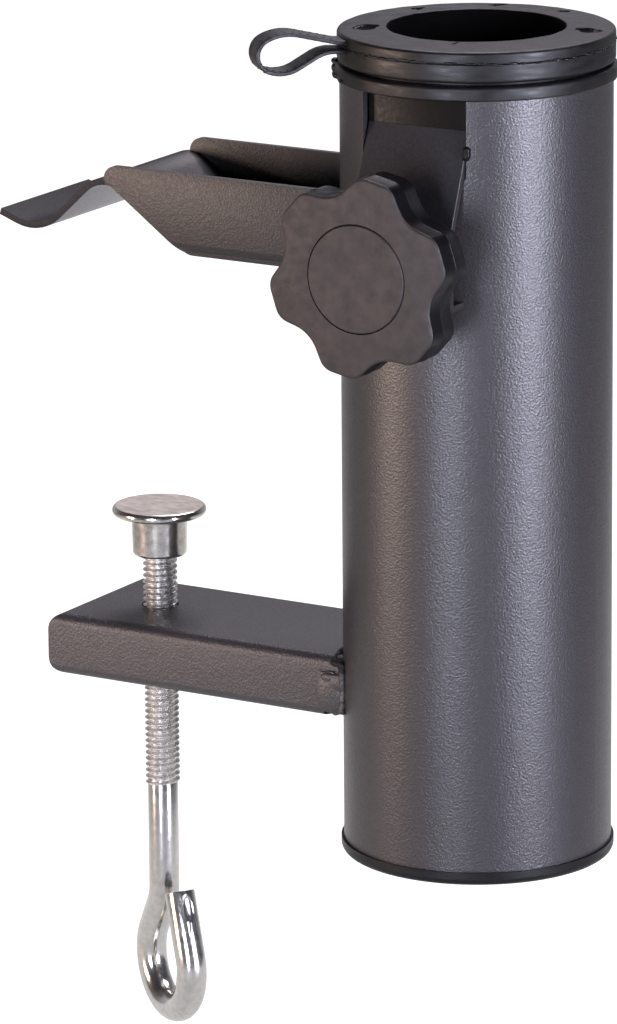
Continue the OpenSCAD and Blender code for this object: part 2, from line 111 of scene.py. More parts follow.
def named(name: str) -> bpy.types.Object:
    """Renames the active object and its mesh, and returns it."""
    obj = bpy.context.active_object
    obj.name = name
    obj.data.name = name
    return obj


@contextmanager
def editing(obj: bpy.types.Object, element: Element = Element.VERTEX) -> Iterator[None]:
    """Edit mode on one object.

    Args:
        obj: The mesh object to edit.
        element: The select mode to edit in.
    """
    activate(obj)
    bpy.ops.object.mode_set(mode="EDIT")
    bpy.ops.mesh.select_mode(type=element.value)
    yield
    bpy.ops.object.mode_set(mode="OBJECT")


def pick(obj: bpy.types.Object, element: Element, test: FaceTest) -> None:
    """Selects the elements of a mesh by their place and heading, in object mode.

    Args:
        obj: The mesh object.
        element: The kind of element to select.
        test: Takes an element's middle in millimetres, and its normal or, of an edge, its direction.
    """
    mesh = obj.data
    for group in (mesh.vertices, mesh.edges, mesh.polygons):
        group.foreach_set("select", [False] * len(group))
    places = [v.co / MM for v in mesh.vertices]
    if element is Element.VERTEX:
        for vertex in mesh.vertices:
            vertex.select = test(places[vertex.index], vertex.normal)
    elif element is Element.EDGE:
        for edge in mesh.edges:
            a, b = (places[i] for i in edge.vertices)
            edge.select = test((a + b) / 2, (b - a).normalized())
    else:
        for face in mesh.polygons:
            face.select = test(face.center / MM, face.normal)


def modify(obj: bpy.types.Object, kind: str, **settings: object) -> None:
    """Adds a modifier with its settings and applies it.

    Args:
        obj: The object to modify.
        kind: The modifier's type.
        settings: The modifier's own fields.
    """
    activate(obj)
    modifier = obj.modifiers.new(kind.lower(), kind)
    for key, value in settings.items():
        setattr(modifier, key, value)
    bpy.ops.object.modifier_apply(modifier=modifier.name)


def smooth(obj: bpy.types.Object, angle: float = 35.0) -> None:
    """Shades a piece smooth, with creases over an angle in degrees."""
    activate(obj)
    bpy.ops.object.shade_smooth_by_angle(angle=math.radians(angle))


def tidy_mesh(obj: bpy.types.Object, gap: float = 0.002) -> None:
    """Merges doubled points closer than a gap in millimetres and turns the faces outwards."""
    with editing(obj):
        bpy.ops.mesh.select_all(action="SELECT")
        bpy.ops.mesh.remove_doubles(threshold=gap * MM)
        bpy.ops.mesh.normals_make_consistent(inside=False)


def settle(obj: bpy.types.Object) -> None:
    """Puts a piece's place, turn and scale into its mesh."""
    activate(obj)
    bpy.ops.object.transform_apply(location=True, rotation=True, scale=True)


def join(name: str, pieces: Sequence[bpy.types.Object]) -> bpy.types.Object:
    """Joins pieces into one object.

    Args:
        name: The name of the joined object.
        pieces: The objects to join; the first one takes the others.

    Returns:
        The joined object.
    """
    deselect()
    for piece in pieces:
        piece.select_set(True)
    bpy.context.view_layer.objects.active = pieces[0]
    if len(pieces) > 1:
        bpy.ops.object.join()
    return named(name)


def cut(obj: bpy.types.Object, tool: bpy.types.Object) -> None:
    """Cuts a tool's shape out of a piece and removes the tool."""
    modify(obj, "BOOLEAN", object=tool, operation="DIFFERENCE", solver="EXACT")
    bpy.data.objects.remove(tool)


def slice_off(
    obj: bpy.types.Object, place: Sequence[float], normal: Sequence[float], trim: bool = True
) -> None:
    """Cuts a piece along a plane.

    Args:
        obj: The piece.
        place: A point of the plane, in millimetres.
        normal: The plane's normal.
        trim: Whether the side that the normal points to is removed and the cut is filled.
    """
    point = [part * MM for part in place]
    with editing(obj):
        bpy.ops.mesh.select_all(action="SELECT")
        bpy.ops.mesh.bisect(plane_co=point, plane_no=normal, clear_outer=trim, use_fill=trim)


def break_edges(obj: bpy.types.Object, width: float, angle: float, segments: int = 3) -> None:
    """Bevels the edges that are sharper than an angle.

    Args:
        obj: The piece.
        width: Width of the bevel, in millimetres.
        angle: The angle, in degrees.
        segments: Segments across the bevel.
    """
    limit = math.radians(angle)
    modify(obj, "BEVEL", width=width * MM, segments=segments, limit_method="ANGLE", angle_limit=limit)


def cylinder(
    name: str, radius: float, depth: float, place: Sequence[float], vertices: int, turn: float = 0.0
) -> bpy.types.Object:
    """A cylinder or prism along Z.

    Args:
        name: The name of the new object.
        radius: Its radius, in millimetres.
        depth: Its height.
        place: Its middle.
        vertices: Corners of its outline.
        turn: Its turn about Z, in degrees.

    Returns:
        The new object.
    """
    deselect()
    bpy.ops.mesh.primitive_cylinder_add(
        vertices=vertices, radius=radius * MM, depth=depth * MM, location=Vector(place) * MM,
        rotation=(0, 0, math.radians(turn)),
    )
    return named(name)


def blob(name: str, place: Sequence[float], size: Sequence[float], turn: float = 0.0) -> bpy.types.Object:
    """A lump: an ico sphere squeezed to a size and turned about Z.

    Args:
        name: The name of the lump.
        place: Its middle, in millimetres.
        size: Its three half sizes, in millimetres.
        turn: Its turn about Z, in degrees.

    Returns:
        The lump.
    """
    deselect()
    bpy.ops.mesh.primitive_ico_sphere_add(
        subdivisions=3, radius=MM, location=Vector(place) * MM, rotation=(0, 0, math.radians(turn)),
        scale=size,
    )
    obj = named(name)
    settle(obj)
    return obj


def line(name: str, points: Sequence[Sequence[float]], closed: bool) -> bpy.types.Object:
    """Draws a chain of edges by extruding one point from place to place.

    Args:
        name: The name of the new object.
        points: Places in millimetres.
        closed: Whether the last point joins the first.

    Returns:
        The new object.
    """
    deselect()
    bpy.ops.mesh.primitive_plane_add(size=MM)
    obj = named(name)
    with editing(obj):
        bpy.ops.mesh.select_all(action="SELECT")
        bpy.ops.mesh.merge(type="CENTER")
        bpy.ops.transform.translate(value=Vector(points[0]) * MM)
        for before, after in zip(points, points[1:]):
            step = (Vector(after) - Vector(before)) * MM
            bpy.ops.mesh.extrude_vertices_move(TRANSFORM_OT_translate={"value": step})
        bpy.ops.mesh.select_all(action="SELECT")
        if closed:
            bpy.ops.mesh.edge_face_add()
    return obj


def lathe(name: str, profile: Sequence[Point], closed: bool = True, steps: int = 144) -> bpy.types.Object:
    """Spins a profile a full turn round the Z axis.

    Args:
        name: The name of the new object.
        profile: Points of radius and height, in millimetres.
        closed: Whether the profile is a loop; otherwise it starts and ends on the axis.
        steps: Steps of the spin.

    Returns:
        The new object.
    """
    obj = line(name, [(r, 0.0, z) for r, z in profile], closed)
    with editing(obj):
        bpy.ops.mesh.select_all(action="SELECT")
        if closed:
            bpy.ops.mesh.delete(type="ONLY_FACE")
            bpy.ops.mesh.select_all(action="SELECT")
        bpy.ops.mesh.spin(steps=steps, angle=TURN, center=(0, 0, 0), axis=(0, 0, 1))
    tidy_mesh(obj)
    return obj


def screw_thread(
    name: str, crest: float, root: float, pitch: float, low: float, high: float
) -> bpy.types.Object:
    """A right-hand thread along Z, closed by flat ends.

    Args:
        name: The name of the thread.
        crest: Its crest radius, in millimetres.
        root: Its root radius.
        pitch: Its pitch.
        low: Height of its lower end.
        high: Height of its upper end.

    Returns:
        The thread.
    """
    start = low - 2 * pitch
    steps = ((0.0, root), (0.1, root), (0.42, crest), (0.58, crest), (0.9, root), (1.0, root))
    obj = line(name, [(r, 0.0, start + share * pitch) for share, r in steps], closed=False)
    turns = math.ceil((high - low) / pitch) + 4
    modify(
        obj, "SCREW", axis="Z", angle=TURN, screw_offset=pitch * MM, iterations=turns, steps=36,
        render_steps=36, use_merge_vertices=True, merge_threshold=0.001 * MM,
    )
    tidy_mesh(obj)
    for height, up in ((low, -1), (high, 1)):
        slice_off(obj, (0, 0, height), (0, 0, up))
    tidy_mesh(obj)
    return obj


def copy_node(node: str, name: str) -> bpy.types.Object:
    """Copies a CAD node as a new piece with merged points and no flat seams.

    Args:
        node: The CAD node.
        name: The name of the copy.

    Returns:
        The copy, free of any body.
    """
    source = bpy.data.objects[node]
    activate(source)
    bpy.ops.object.duplicate()
    bpy.ops.object.parent_clear(type="CLEAR_KEEP_TRANSFORM")
    obj = named(name)
    for key in list(obj.keys()):
        del obj[key]
    obj.data.materials.clear()
    bpy.ops.mesh.customdata_custom_splitnormals_clear()
    with editing(obj):
        bpy.ops.mesh.select_all(action="SELECT")
        bpy.ops.mesh.remove_doubles(threshold=0.002 * MM)
        bpy.ops.mesh.dissolve_limited(angle_limit=math.radians(0.5))
    return obj


# Outlines


def heading(angle: float) -> Vector:
    """Unit vector of a heading in degrees."""
    return Vector((math.cos(math.radians(angle)), math.sin(math.radians(angle))))


def walk(start: Point, angle: float, legs: Sequence[Leg], step: float = 5.0) -> list[Point]:
    """Points of a path of straight stretches and bends.

    Args:
        start: The first point.
        angle: The first heading, in degrees.
        legs: Stretches of straight length, turn in degrees and bend radius.
        step: The largest turn between two points of a bend.

    Returns:
        The points of the path.
    """
    place = Vector(start)
    points = [tuple(place)]
    for length, turn, radius in legs:
        if length > 0:
            place = place + heading(angle) * length
            points.append(tuple(place))
        if turn:
            side = math.copysign(1.0, turn)
            centre = place + heading(angle + 90) * side * radius
            count = max(1, math.ceil(abs(turn) / step))
            for k in range(1, count + 1):
                points.append(tuple(centre - heading(angle + turn * k / count + 90) * side * radius))
            place = Vector(points[-1])
            angle += turn
    return points


def rounded(corners: Sequence[Corner], step: float = 15.0) -> list[Point]:
    """Outline with rounded corners.

    Args:
        corners: Points with the radius of their rounding.
        step: The largest turn between two points of a rounding, in degrees.

    Returns:
        The points of the outline.
    """
    outline: list[Point] = []
    for i, (x, y, radius) in enumerate(corners):
        corner = Vector((x, y))
        if radius == 0:
            outline.append((x, y))
            continue
        before = (Vector(corners[i - 1][:2]) - corner).normalized()
        after = (Vector(corners[(i + 1) % len(corners)][:2]) - corner).normalized()
        half = before.angle(after) / 2
        centre = corner + (before + after).normalized() * radius / math.sin(half)
        first = corner + before * radius / math.tan(half) - centre
        last = corner + after * radius / math.tan(half) - centre
        sweep = math.atan2(first.x * last.y - first.y * last.x, first.dot(last))
        count = max(2, math.ceil(abs(math.degrees(sweep)) / step))
        for k in range(count + 1):
            turned = Matrix.Rotation(sweep * k / count, 2) @ first
            outline.append(tuple(centre + turned))
    return outline


# Finishes


def linear(code: str) -> tuple[float, float, float, float]:
    """Turns an sRGB hex colour into linear red, green, blue and alpha."""
    channels = [int(code[i : i + 2], 16) / 255 for i in (1, 3, 5)]
    lit = [c / 12.92 if c <= 0.04045 else ((c + 0.055) / 1.055) ** 2.4 for c in channels]
    return (*lit, 1.0)


def per_metre(size_mm: float) -> float:
    """Scale of a noise whose features are about this many millimetres across."""
    return 1.0 / (size_mm * MM)


def add_node(
    tree: bpy.types.NodeTree,
    kind: str,
    settings: dict[str | int, object] | None = None,
    links: dict[str | int, bpy.types.NodeSocket] | None = None,
) -> bpy.types.Node:
    """Adds a node with its settings and links.

    Args:
        tree: The node tree to add to.
        kind: The node's type.
        settings: Values of the node's own fields, or of its inputs by name or number; the
            stops of a colour ramp are positions with sRGB hex colours.
        links: Output sockets to link to the inputs of these names or numbers.

    Returns:
        The new node.
    """
    node = tree.nodes.new(kind)
    for key, value in (settings or {}).items():
        if key == "stops":
            elements = node.color_ramp.elements
            while len(elements) < len(value):
                elements.new(0.5)
            for element, (position, code) in zip(elements, value):
                element.position, element.color = position, linear(code)
        elif isinstance(key, int) or key in node.inputs:
            node.inputs[key].default_value = value
        else:
            setattr(node, key, value)
    for key, socket in (links or {}).items():
        tree.links.new(socket, node.inputs[key])
    return node


def blank(name: str) -> tuple[bpy.types.Material, bpy.types.NodeTree, bpy.types.Node, bpy.types.NodeSocket]:
    """A new node material.

    Args:
        name: The material's name.

    Returns:
        The material, its tree, its shader and the socket of Object coordinates.
    """
    material = bpy.data.materials.new(name)
    material.use_nodes = True
    tree = material.node_tree
    shader = tree.nodes["Principled BSDF"]
    place = add_node(tree, "ShaderNodeTexCoord").outputs["Object"]
    return material, tree, shader, place


def skin(
    tree: bpy.types.NodeTree,
    shader: bpy.types.Node,
    tint: bpy.types.NodeSocket,
    gloss: bpy.types.NodeSocket,
    height: bpy.types.NodeSocket,
    relief: tuple[float, float],
) -> None:
    """Gives a shader its colour, its roughness and its relief.

    Args:
        tree: The node tree.
        shader: The shader.
        tint: The colour.
        gloss: The roughness.
        height: The height of the relief.
        relief: The strength of the relief and its depth in millimetres.
    """
    bump = add_node(
        tree, "ShaderNodeBump", {"Strength": relief[0], "Distance": relief[1] * MM}, {"Height": height}
    )
    for name, socket in (("Base Color", tint), ("Roughness", gloss), ("Normal", bump.outputs["Normal"])):
        tree.links.new(socket, shader.inputs[name])


@dataclass(frozen=True)
class Zone:
    """The part of a plated piece above a level, rubbed dull by use."""

    level: float
    dark: str
    light: str
    roughness: float = 0.5
    metal: float = 0.1
    sheen: float = 0.2
    rub_mm: float = 4.0
    rub_turn: float = 0.5
    rub_scale: Triple = (1.0, 2.0, 1.0)
    blur: float = 0.07

    def share(self, tree: bpy.types.NodeTree, place: bpy.types.NodeSocket) -> bpy.types.NodeSocket:
        """Nought below the level and one above it."""
        axes = add_node(tree, "ShaderNodeSeparateXYZ", links={"Vector": place})
        return add_node(
            tree,
            "ShaderNodeMapRange",
            {"From Min": (self.level - self.blur) * MM, "From Max": (self.level + self.blur) * MM},
            {"Value": axes.outputs["Z"]},
        ).outputs["Result"]


@dataclass(frozen=True)
class PowderCoat:
    """Textured polyester powder coat, sprayed and baked on mild steel: a satin orange-peel skin."""

    name: str
    dark: str
    light: str
    grain_mm: float = 0.47
    peel_mm: float = 0.14
    roughness: tuple[float, float] = (0.33, 0.41)
    strength: float = 0.75
    sheen: float = 0.6

    def make(self) -> bpy.types.Material:
        """Builds the coat: fine pebbles that break the highlights, darker in their hollows."""
        material, tree, shader, place = blank(self.name)
        pebbles = add_node(
            tree,
            "ShaderNodeTexNoise",
            {"Scale": per_metre(self.grain_mm), "Detail": 2.0, "Roughness": 0.5},
            {"Vector": place},
        ).outputs["Fac"]
        tint = add_node(
            tree, "ShaderNodeValToRGB", {"stops": [(0.35, self.dark), (0.65, self.light)]}, {"Fac": pebbles}
        ).outputs["Color"]
        gloss = add_node(
            tree,
            "ShaderNodeMapRange",
            {"From Min": 0.3, "From Max": 0.7, "To Min": self.roughness[1], "To Max": self.roughness[0]},
            {"Value": pebbles},
        ).outputs["Result"]
        shader.inputs["Specular IOR Level"].default_value = self.sheen
        skin(tree, shader, tint, gloss, pebbles, (self.strength, self.peel_mm))
        return material


@dataclass(frozen=True)
class MouldedPlastic:
    """Injection-moulded plastic: satin, with flow clouds, moulding grain and rubbed streaks."""

    name: str
    dark: str
    light: str
    roughness: tuple[float, float] = (0.36, 0.54)
    cloud_mm: float = 7.0
    grain_mm: float = 1.4
    relief: tuple[float, float] = (0.5, 0.05)
    streak_mm: float = 2.5
    streak_scale: Triple = (0.35, 0.35, 2.0)
    sheen: float = 0.5

    def make(self) -> bpy.types.Material:
        """Builds the plastic: cloudy tint, grain, and streaks that are duller or glossier."""
        material, tree, shader, place = blank(self.name)
        cloud = add_node(
            tree,
            "ShaderNodeTexNoise",
            {"Scale": per_metre(self.cloud_mm), "Detail": 8.0, "Roughness": 0.62},
            {"Vector": place},
        )
        grain = add_node(
            tree, "ShaderNodeTexNoise", {"Scale": per_metre(self.grain_mm), "Detail": 3.0}, {"Vector": place}
        )
        pulled = add_node(tree, "ShaderNodeMapping", {"Scale": self.streak_scale}, {"Vector": place})
        streak = add_node(
            tree,
            "ShaderNodeTexNoise",
            {"Scale": per_metre(self.streak_mm), "Detail": 6.0, "Roughness": 0.6},
            {"Vector": pulled.outputs["Vector"]},
        )
        tint = add_node(
            tree,
            "ShaderNodeValToRGB",
            {"stops": [(0.34, self.dark), (0.66, self.light)]},
            {"Fac": cloud.outputs["Fac"]},
        ).outputs["Color"]
        gloss = add_node(
            tree,
            "ShaderNodeMapRange",
            {"From Min": 0.38, "From Max": 0.62, "To Min": self.roughness[0], "To Max": self.roughness[1]},
            {"Value": streak.outputs["Fac"]},
        ).outputs["Result"]
        shader.inputs["Specular IOR Level"].default_value = self.sheen
        skin(tree, shader, tint, gloss, grain.outputs["Fac"], self.relief)
        return material


@dataclass(frozen=True)
class ZincPlate:
    """Bright electroplated zinc on drawn steel: shiny with milky clouds and fine dents."""

    name: str
    dull: str
    bright: str
    roughness: tuple[float, float] = (0.21, 0.27)
    metal: float = 0.95
    cloud_mm: float = 1.3
    dent_mm: float = 1.3
    relief: tuple[float, float] = (0.25, 0.03)
    zone: Zone | None = None

    def make(self) -> bpy.types.Material:
        """Builds the plating: clouded gloss, shallow dents, and where asked a rubbed zone."""
        material, tree, shader, place = blank(self.name)
        shader.inputs["Metallic"].default_value = self.metal
        cloud = add_node(
            tree,
            "ShaderNodeTexNoise",
            {"Scale": per_metre(self.cloud_mm), "Detail": 6.0, "Roughness": 0.6},
            {"Vector": place},
        )
        dents = add_node(
            tree, "ShaderNodeTexNoise", {"Scale": per_metre(self.dent_mm), "Detail": 2.0}, {"Vector": place}
        )
        tint = add_node(
            tree,
            "ShaderNodeValToRGB",
            {"stops": [(0.34, self.dull), (0.6, self.bright)]},
            {"Fac": cloud.outputs["Fac"]},
        ).outputs["Color"]
        gloss = add_node(
            tree,
            "ShaderNodeMapRange",
            {"From Min": 0.35, "From Max": 0.7, "To Min": self.roughness[0], "To Max": self.roughness[1]},
            {"Value": cloud.outputs["Fac"]},
        ).outputs["Result"]
        if self.zone:
            tint, gloss, metal = self.rubbed(tree, place, tint, gloss)
            tree.links.new(metal, shader.inputs["Metallic"])
            shader.inputs["Specular IOR Level"].default_value = self.zone.sheen
        skin(tree, shader, tint, gloss, dents.outputs["Fac"], self.relief)
        return material

    def rubbed(
        self,
        tree: bpy.types.NodeTree,
        place: bpy.types.NodeSocket,
        tint: bpy.types.NodeSocket,
        gloss: bpy.types.NodeSocket,
    ) -> tuple[bpy.types.NodeSocket, bpy.types.NodeSocket, bpy.types.NodeSocket]:
        """Rubs the zone dull and blotchy, as a pad's face is by use.

        Args:
            tree: The node tree.
            place: Object coordinates.
            tint: The plating's colour.
            gloss: The plating's roughness.

        Returns:
            Colour, roughness and metallic share with the rubbed zone.
        """
        zone = self.zone
        share = zone.share(tree, place)
        pulled = add_node(
            tree,
            "ShaderNodeMapping",
            {"Rotation": (0, 0, zone.rub_turn), "Scale": zone.rub_scale},
            {"Vector": place},
        )
        blotches = add_node(
            tree,
            "ShaderNodeTexNoise",
            {"Scale": per_metre(zone.rub_mm), "Detail": 8.0, "Roughness": 0.7},
            {"Vector": pulled.outputs["Vector"]},
        )
        rubs = add_node(
            tree,
            "ShaderNodeValToRGB",
            {"stops": [(0.35, zone.dark), (0.6, zone.light)]},
            {"Fac": blotches.outputs["Fac"]},
        )
        colour = add_node(
            tree, "ShaderNodeMix", {"data_type": "RGBA"}, {"Factor": share, 6: tint, 7: rubs.outputs["Color"]}
        )
        rough = add_node(
            tree, "ShaderNodeMix", {"data_type": "FLOAT", 3: zone.roughness}, {"Factor": share, 2: gloss}
        )
        metal = add_node(
            tree, "ShaderNodeMapRange", {"To Min": self.metal, "To Max": zone.metal}, {"Value": share}
        )
        return colour.outputs[2], rough.outputs[0], metal.outputs["Result"]


class Finishes:
    """All finishes of the holder, made once."""

    def __init__(self) -> None:
        """Makes the materials."""
        # Charcoal powder coat: brown-grey pebbles with satin highlights
        self.coat = PowderCoat("charcoal_powder_coat", "#1d1b1c", "#2b2829").make()
        # The same coat on the box arm, drier and with more grain
        self.box = PowderCoat(
            "dry_powder_coat", "#1d1a1b", "#2c282a", roughness=(0.41, 0.49), strength=1.0, sheen=0.72
        ).make()
        # The same coat on the jaw's sheet, a little thinner and less shiny, and darker than the tube's coat
        # as painted shade; on the strip's right edges its sheen is a painted highlight
        self.sheet = PowderCoat(
            "sheet_powder_coat", "#171516", "#211e1e", roughness=(0.4, 0.48), strength=0.6, sheen=0.46
        ).make()
        # The same coat on the flat strip, thinner and smoother; on the jaw's lip top and front it is painted
        # shade
        self.strip_coat_and_lip_shade = PowderCoat(
            "thin_coat_and_lip_shade", "#161518", "#1e1d20", grain_mm=0.6, peel_mm=0.08, roughness=(0.56, 0.62),
            strength=0.4, sheen=0.25,
        ).make()
        # Paler, glossier coat under the jaw's crest: a painted reflection of the pale floor
        self.underside_reflection = PowderCoat(
            "painted_reflection_coat", "#302c33", "#413b45", grain_mm=0.6, peel_mm=0.05, roughness=(0.28, 0.36),
            strength=0.4, sheen=1.0,
        ).make()
        # Near-black coat above the strip's fold, painted shade under the collar, and on the strip's weld,
        # painted shade of its pit
        self.painted_shade_coat = PowderCoat(
            "painted_shade_powder_coat", "#0b0a0a", "#141312", grain_mm=0.8, peel_mm=0.05, roughness=(0.3, 0.4),
            strength=0.4, sheen=0.09,
        ).make()
        # Coat over weld metal: darker in the hollows, lumpier
        self.weld = PowderCoat(
            "coated_weld", "#100e0e", "#1d1a1b", grain_mm=0.7, peel_mm=0.2, roughness=(0.5, 0.64), sheen=0.2
        ).make()
        # Recycled polypropylene rings: dark with brownish clouds and rubbed streaks
        self.ring = MouldedPlastic("moulded_rings", "#070606", "#121010", cloud_mm=9.0, sheen=0.3).make()
        # The same plastic in the bore and the pits, painted black and dull as painted shade
        self.hollow = MouldedPlastic("painted_hollow_shade", "#020202", "#050405", (0.8, 0.9), sheen=0.08).make()
        # Black polyethylene plug, smooth and a little shiny
        self.plug = MouldedPlastic("black_plug", "#060608", "#0b0b0d", (0.36, 0.48), sheen=0.25).make()
        # Soft polyethylene strap, drawn lengthwise
        self.strap = MouldedPlastic(
            "soft_strap", "#171517", "#2a2729", (0.42, 0.6), cloud_mm=3.0, sheen=0.35
        ).make()
        # Glass-filled nylon knob: a matte mottled face
        self.knob = MouldedPlastic(
            "filled_nylon_knob", "#130e0c", "#281f1c", (0.56, 0.68), cloud_mm=4.0, grain_mm=0.8,
            streak_scale=(1.0, 1.0, 1.0),
        ).make()
        # The knob's flanks, smooth from the mould and from hands, and darker than the face as painted shade
        self.shaded_flank = MouldedPlastic(
            "shaded_nylon_flanks", "#070607", "#0b090a", (0.34, 0.4), sheen=0.22
        ).make()
        # Bright zinc on the bolt, nuts and eye screw: clear mirror-like glints
        self.zinc = ZincPlate("bright_zinc", "#bbb9b3", "#c9c7c0", roughness=(0.16, 0.24)).make()
        # Zinc in the rolled thread, milky and dull
        self.thread = ZincPlate("milky_zinc", "#bebbb5", "#dcdad5", roughness=(0.24, 0.32), metal=0.88).make()
        # The pad is plated too, with a face rubbed by use
        self.pad = ZincPlate(
            "rubbed_zinc_pad", "#b4b1a8", "#d2cfc6", roughness=(0.15, 0.22),
            zone=Zone(-107.45, "#b4a99e", "#e4dcd0"),
        ).make()


def dress(obj: bpy.types.Object, material: bpy.types.Material) -> None:
    """Gives a piece or a CAD node its one material."""
    obj.data.materials.clear()
    obj.data.materials.append(material)


def refinish(obj: bpy.types.Object, material: bpy.types.Material, test: FaceTest) -> None:
    """Gives some faces of a dressed piece a further material.

    Args:
        obj: The piece.
        material: The further material.
        test: Says of a face's middle in millimetres and its normal whether it takes the material.
    """
    obj.data.materials.append(material)
    for face in obj.data.polygons:
        if test(face.center / MM, face.normal):
            face.material_index = len(obj.data.materials) - 1


def place_piece(
    obj: bpy.types.Object, body: Body, material: bpy.types.Material, nodes: Sequence[str] = ()
) -> None:
    """Finishes a piece: material, slot, the nodes it stands for and the body it rides on.

    Args:
        obj: The piece.
        body: The body that carries it.
        material: The piece's material.
        nodes: CAD nodes that the piece stands for.
    """
    settle(obj)
    dress(obj, material)
    if nodes:
        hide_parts(*nodes)
    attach(obj, body.value)
    LOG.info("piece %s on %s, %d faces", obj.name, body.value, len(obj.data.polygons))


# Assemblies


@dataclass
class RingStack:
    """Collar, two reducers and the strap that ties them, at the tube's mouth."""

    tube_r: float = 30.0
    bore_r: float = 19.5282
    outer_bore_r: float = 21.4282
    outer_sleeve_r: float = 23.2282
    inner_sleeve_r: float = 21.1282
    collar_bore_r: float = 23.5282
    rim_r: float = 30.5
    collar_r: float = 31.0
    collar_top: float = 3.2
    outer_z: float = 3.8
    inner_z: float = 8.0
    top_z: float = 10.6
    crown: float = 0.5
    crown_r: float = 27.0
    seat_step: float = 1.5
    outer_sleeve_len: float = 20.0
    inner_sleeve_len: float = 22.0
    wave_mm: float = 5.0
    strap_azimuth: float = 226.0
    strap_w: float = 7.0
    strap_t: float = 0.9
    strap_hem: float = 0.6
    strap_legs: tuple[Leg, ...] = (
        (0.6, 13.4, 8.0), (8.6, -40.2, 10.2), (0.0, -132.0, 3.8), (0.0, -50.7, 7.9), (4.4, 32.5, 8.0),
        *((0.63, 0.0, 0.0),) * 4,
    )
    strap_bounds: tuple[Point, Point] = ((30.7, 7.95), (30.95, 8.2))
    bead_pitch: float = 1.75
    bead_start: float = 1.5
    bead_half: Point = (0.55, 0.2)
    bead_proud: float = 0.16
    lumps: tuple[tuple[float, float, Triple], ...] = (
        (211.0, 2.0, (0.8, 1.4, 1.1)), (216.0, 1.0, (0.8, 2.2, 0.9)), (207.0, 3.1, (0.9, 1.2, 0.7)),
        (228.0, 0.6, (0.6, 1.6, 0.5)),
    )
    pits: tuple[tuple[float, float, Triple], ...] = (
        (211.0, 24.2, (3.4, 3.4, 0.95)), (17.5, 24.8, (3.2, 2.7, 0.95)), (109.0, 27.6, (1.4, 3.6, 0.9)),
        (73.0, 26.6, (1.3, 1.7, 0.85)), (287.0, 21.6, (0.4, 1.8, 0.3)), (150.0, 25.6, (1.5, 2.3, 0.85)),
    )

    def waviness(self, obj: bpy.types.Object, strength: float) -> None:
        """Makes a moulded ring's skin uneven by a strength in millimetres."""
        texture = bpy.data.textures.new(obj.name + "_waves", "CLOUDS")
        texture.noise_scale = self.wave_mm * MM
        texture.noise_depth = 2
        modify(
            obj, "DISPLACE", texture=texture, strength=strength * MM, mid_level=0.5, texture_coords="LOCAL"
        )

    def collar(self, finishes: Finishes) -> None:
        """Builds the collar: a rim on the tube's end, with lumps of flash at its left."""
        base = 0.05
        # Points between the corners let the waviness bend the straight runs
        profile = rounded(
            [
                (self.collar_bore_r, 0, 0), (26.9, base, 0), (self.tube_r, base, 0),
                (self.collar_r, base, 0.4), (self.collar_r, self.collar_top / 2, 0),
                (self.collar_r, self.collar_top, 0.8), (27.5, self.collar_top, 0),
                (self.collar_bore_r, self.collar_top, 0),
            ]
        )
        ring = lathe("collar_ring", profile)
        skirt = copy_node("tube_collar", "collar_skirt")
        slice_off(skirt, (0, 0, -0.1), (0, 0, 1))
        self.waviness(ring, 0.22)
        lumps = []
        for azimuth, height, size in self.lumps:
            spot = heading(azimuth) * (self.collar_r - 0.1)
            lumps.append(blob("flash", (spot.x, spot.y, height), size, azimuth))
        obj = join("collar_ring", [ring, skirt, *lumps])
        smooth(obj)
        place_piece(obj, Body.HOLDER, finishes.ring, ["tube_collar"])

    def outer(self, finishes: Finishes) -> None:
        """Builds the outer reducer: rim, seat and sleeve."""
        seat = self.tube_r - self.seat_step
        sleeve = self.collar_top - self.outer_sleeve_len
        middle = (self.outer_z + self.inner_z) / 2
        profile = rounded(
            [
                (self.outer_bore_r, sleeve, 0), (self.outer_sleeve_r, sleeve, 0.6),
                (self.outer_sleeve_r, self.collar_top, 0), (seat, self.collar_top + 0.02, 0),
                (seat, self.outer_z, 0), (self.rim_r, self.outer_z, 0.8), (self.rim_r, middle, 0),
                (self.rim_r, self.inner_z, 0.3), (self.outer_bore_r, self.inner_z, 0),
            ]
        )
        ring = lathe("outer_reducer_ring", profile)
        self.waviness(ring, 0.16)
        smooth(ring)
        place_piece(ring, Body.OUTER_RING, finishes.ring, ["outer_reducer"])

    def inner(self, finishes: Finishes) -> None:
        """Builds the inner reducer: rim with gate marks on its face, and the sleeve that holds the pole."""
        sleeve = self.inner_z - self.inner_sleeve_len
        profile = rounded(
            [
                (self.bore_r, sleeve, 0), (self.inner_sleeve_r, sleeve, 0.6),
                (self.inner_sleeve_r, self.inner_z, 0), (self.rim_r, self.inner_z + 0.02, 0.3),
                (self.rim_r, self.top_z, 0.7), (self.crown_r, self.top_z + 0.1, 0),
                (23.0, self.top_z + 0.6 * self.crown, 0), (self.bore_r, self.top_z + self.crown, 0.4),
            ]
        )
        ring = lathe("inner_reducer_ring", profile)
        self.waviness(ring, 0.16)
        for azimuth, radius, size in self.pits:
            self.pit(ring, azimuth, radius, size)
        ring = join("inner_reducer_ring", [ring, *self.flash(self.inner_z + 0.05, 11)])
        smooth(ring)
        place_piece(ring, Body.INNER_RING, finishes.ring, ["inner_reducer"])
        # Faces in the bore and the pits take black as painted shade
        refinish(ring, finishes.hollow, self.painted_shade_faces)

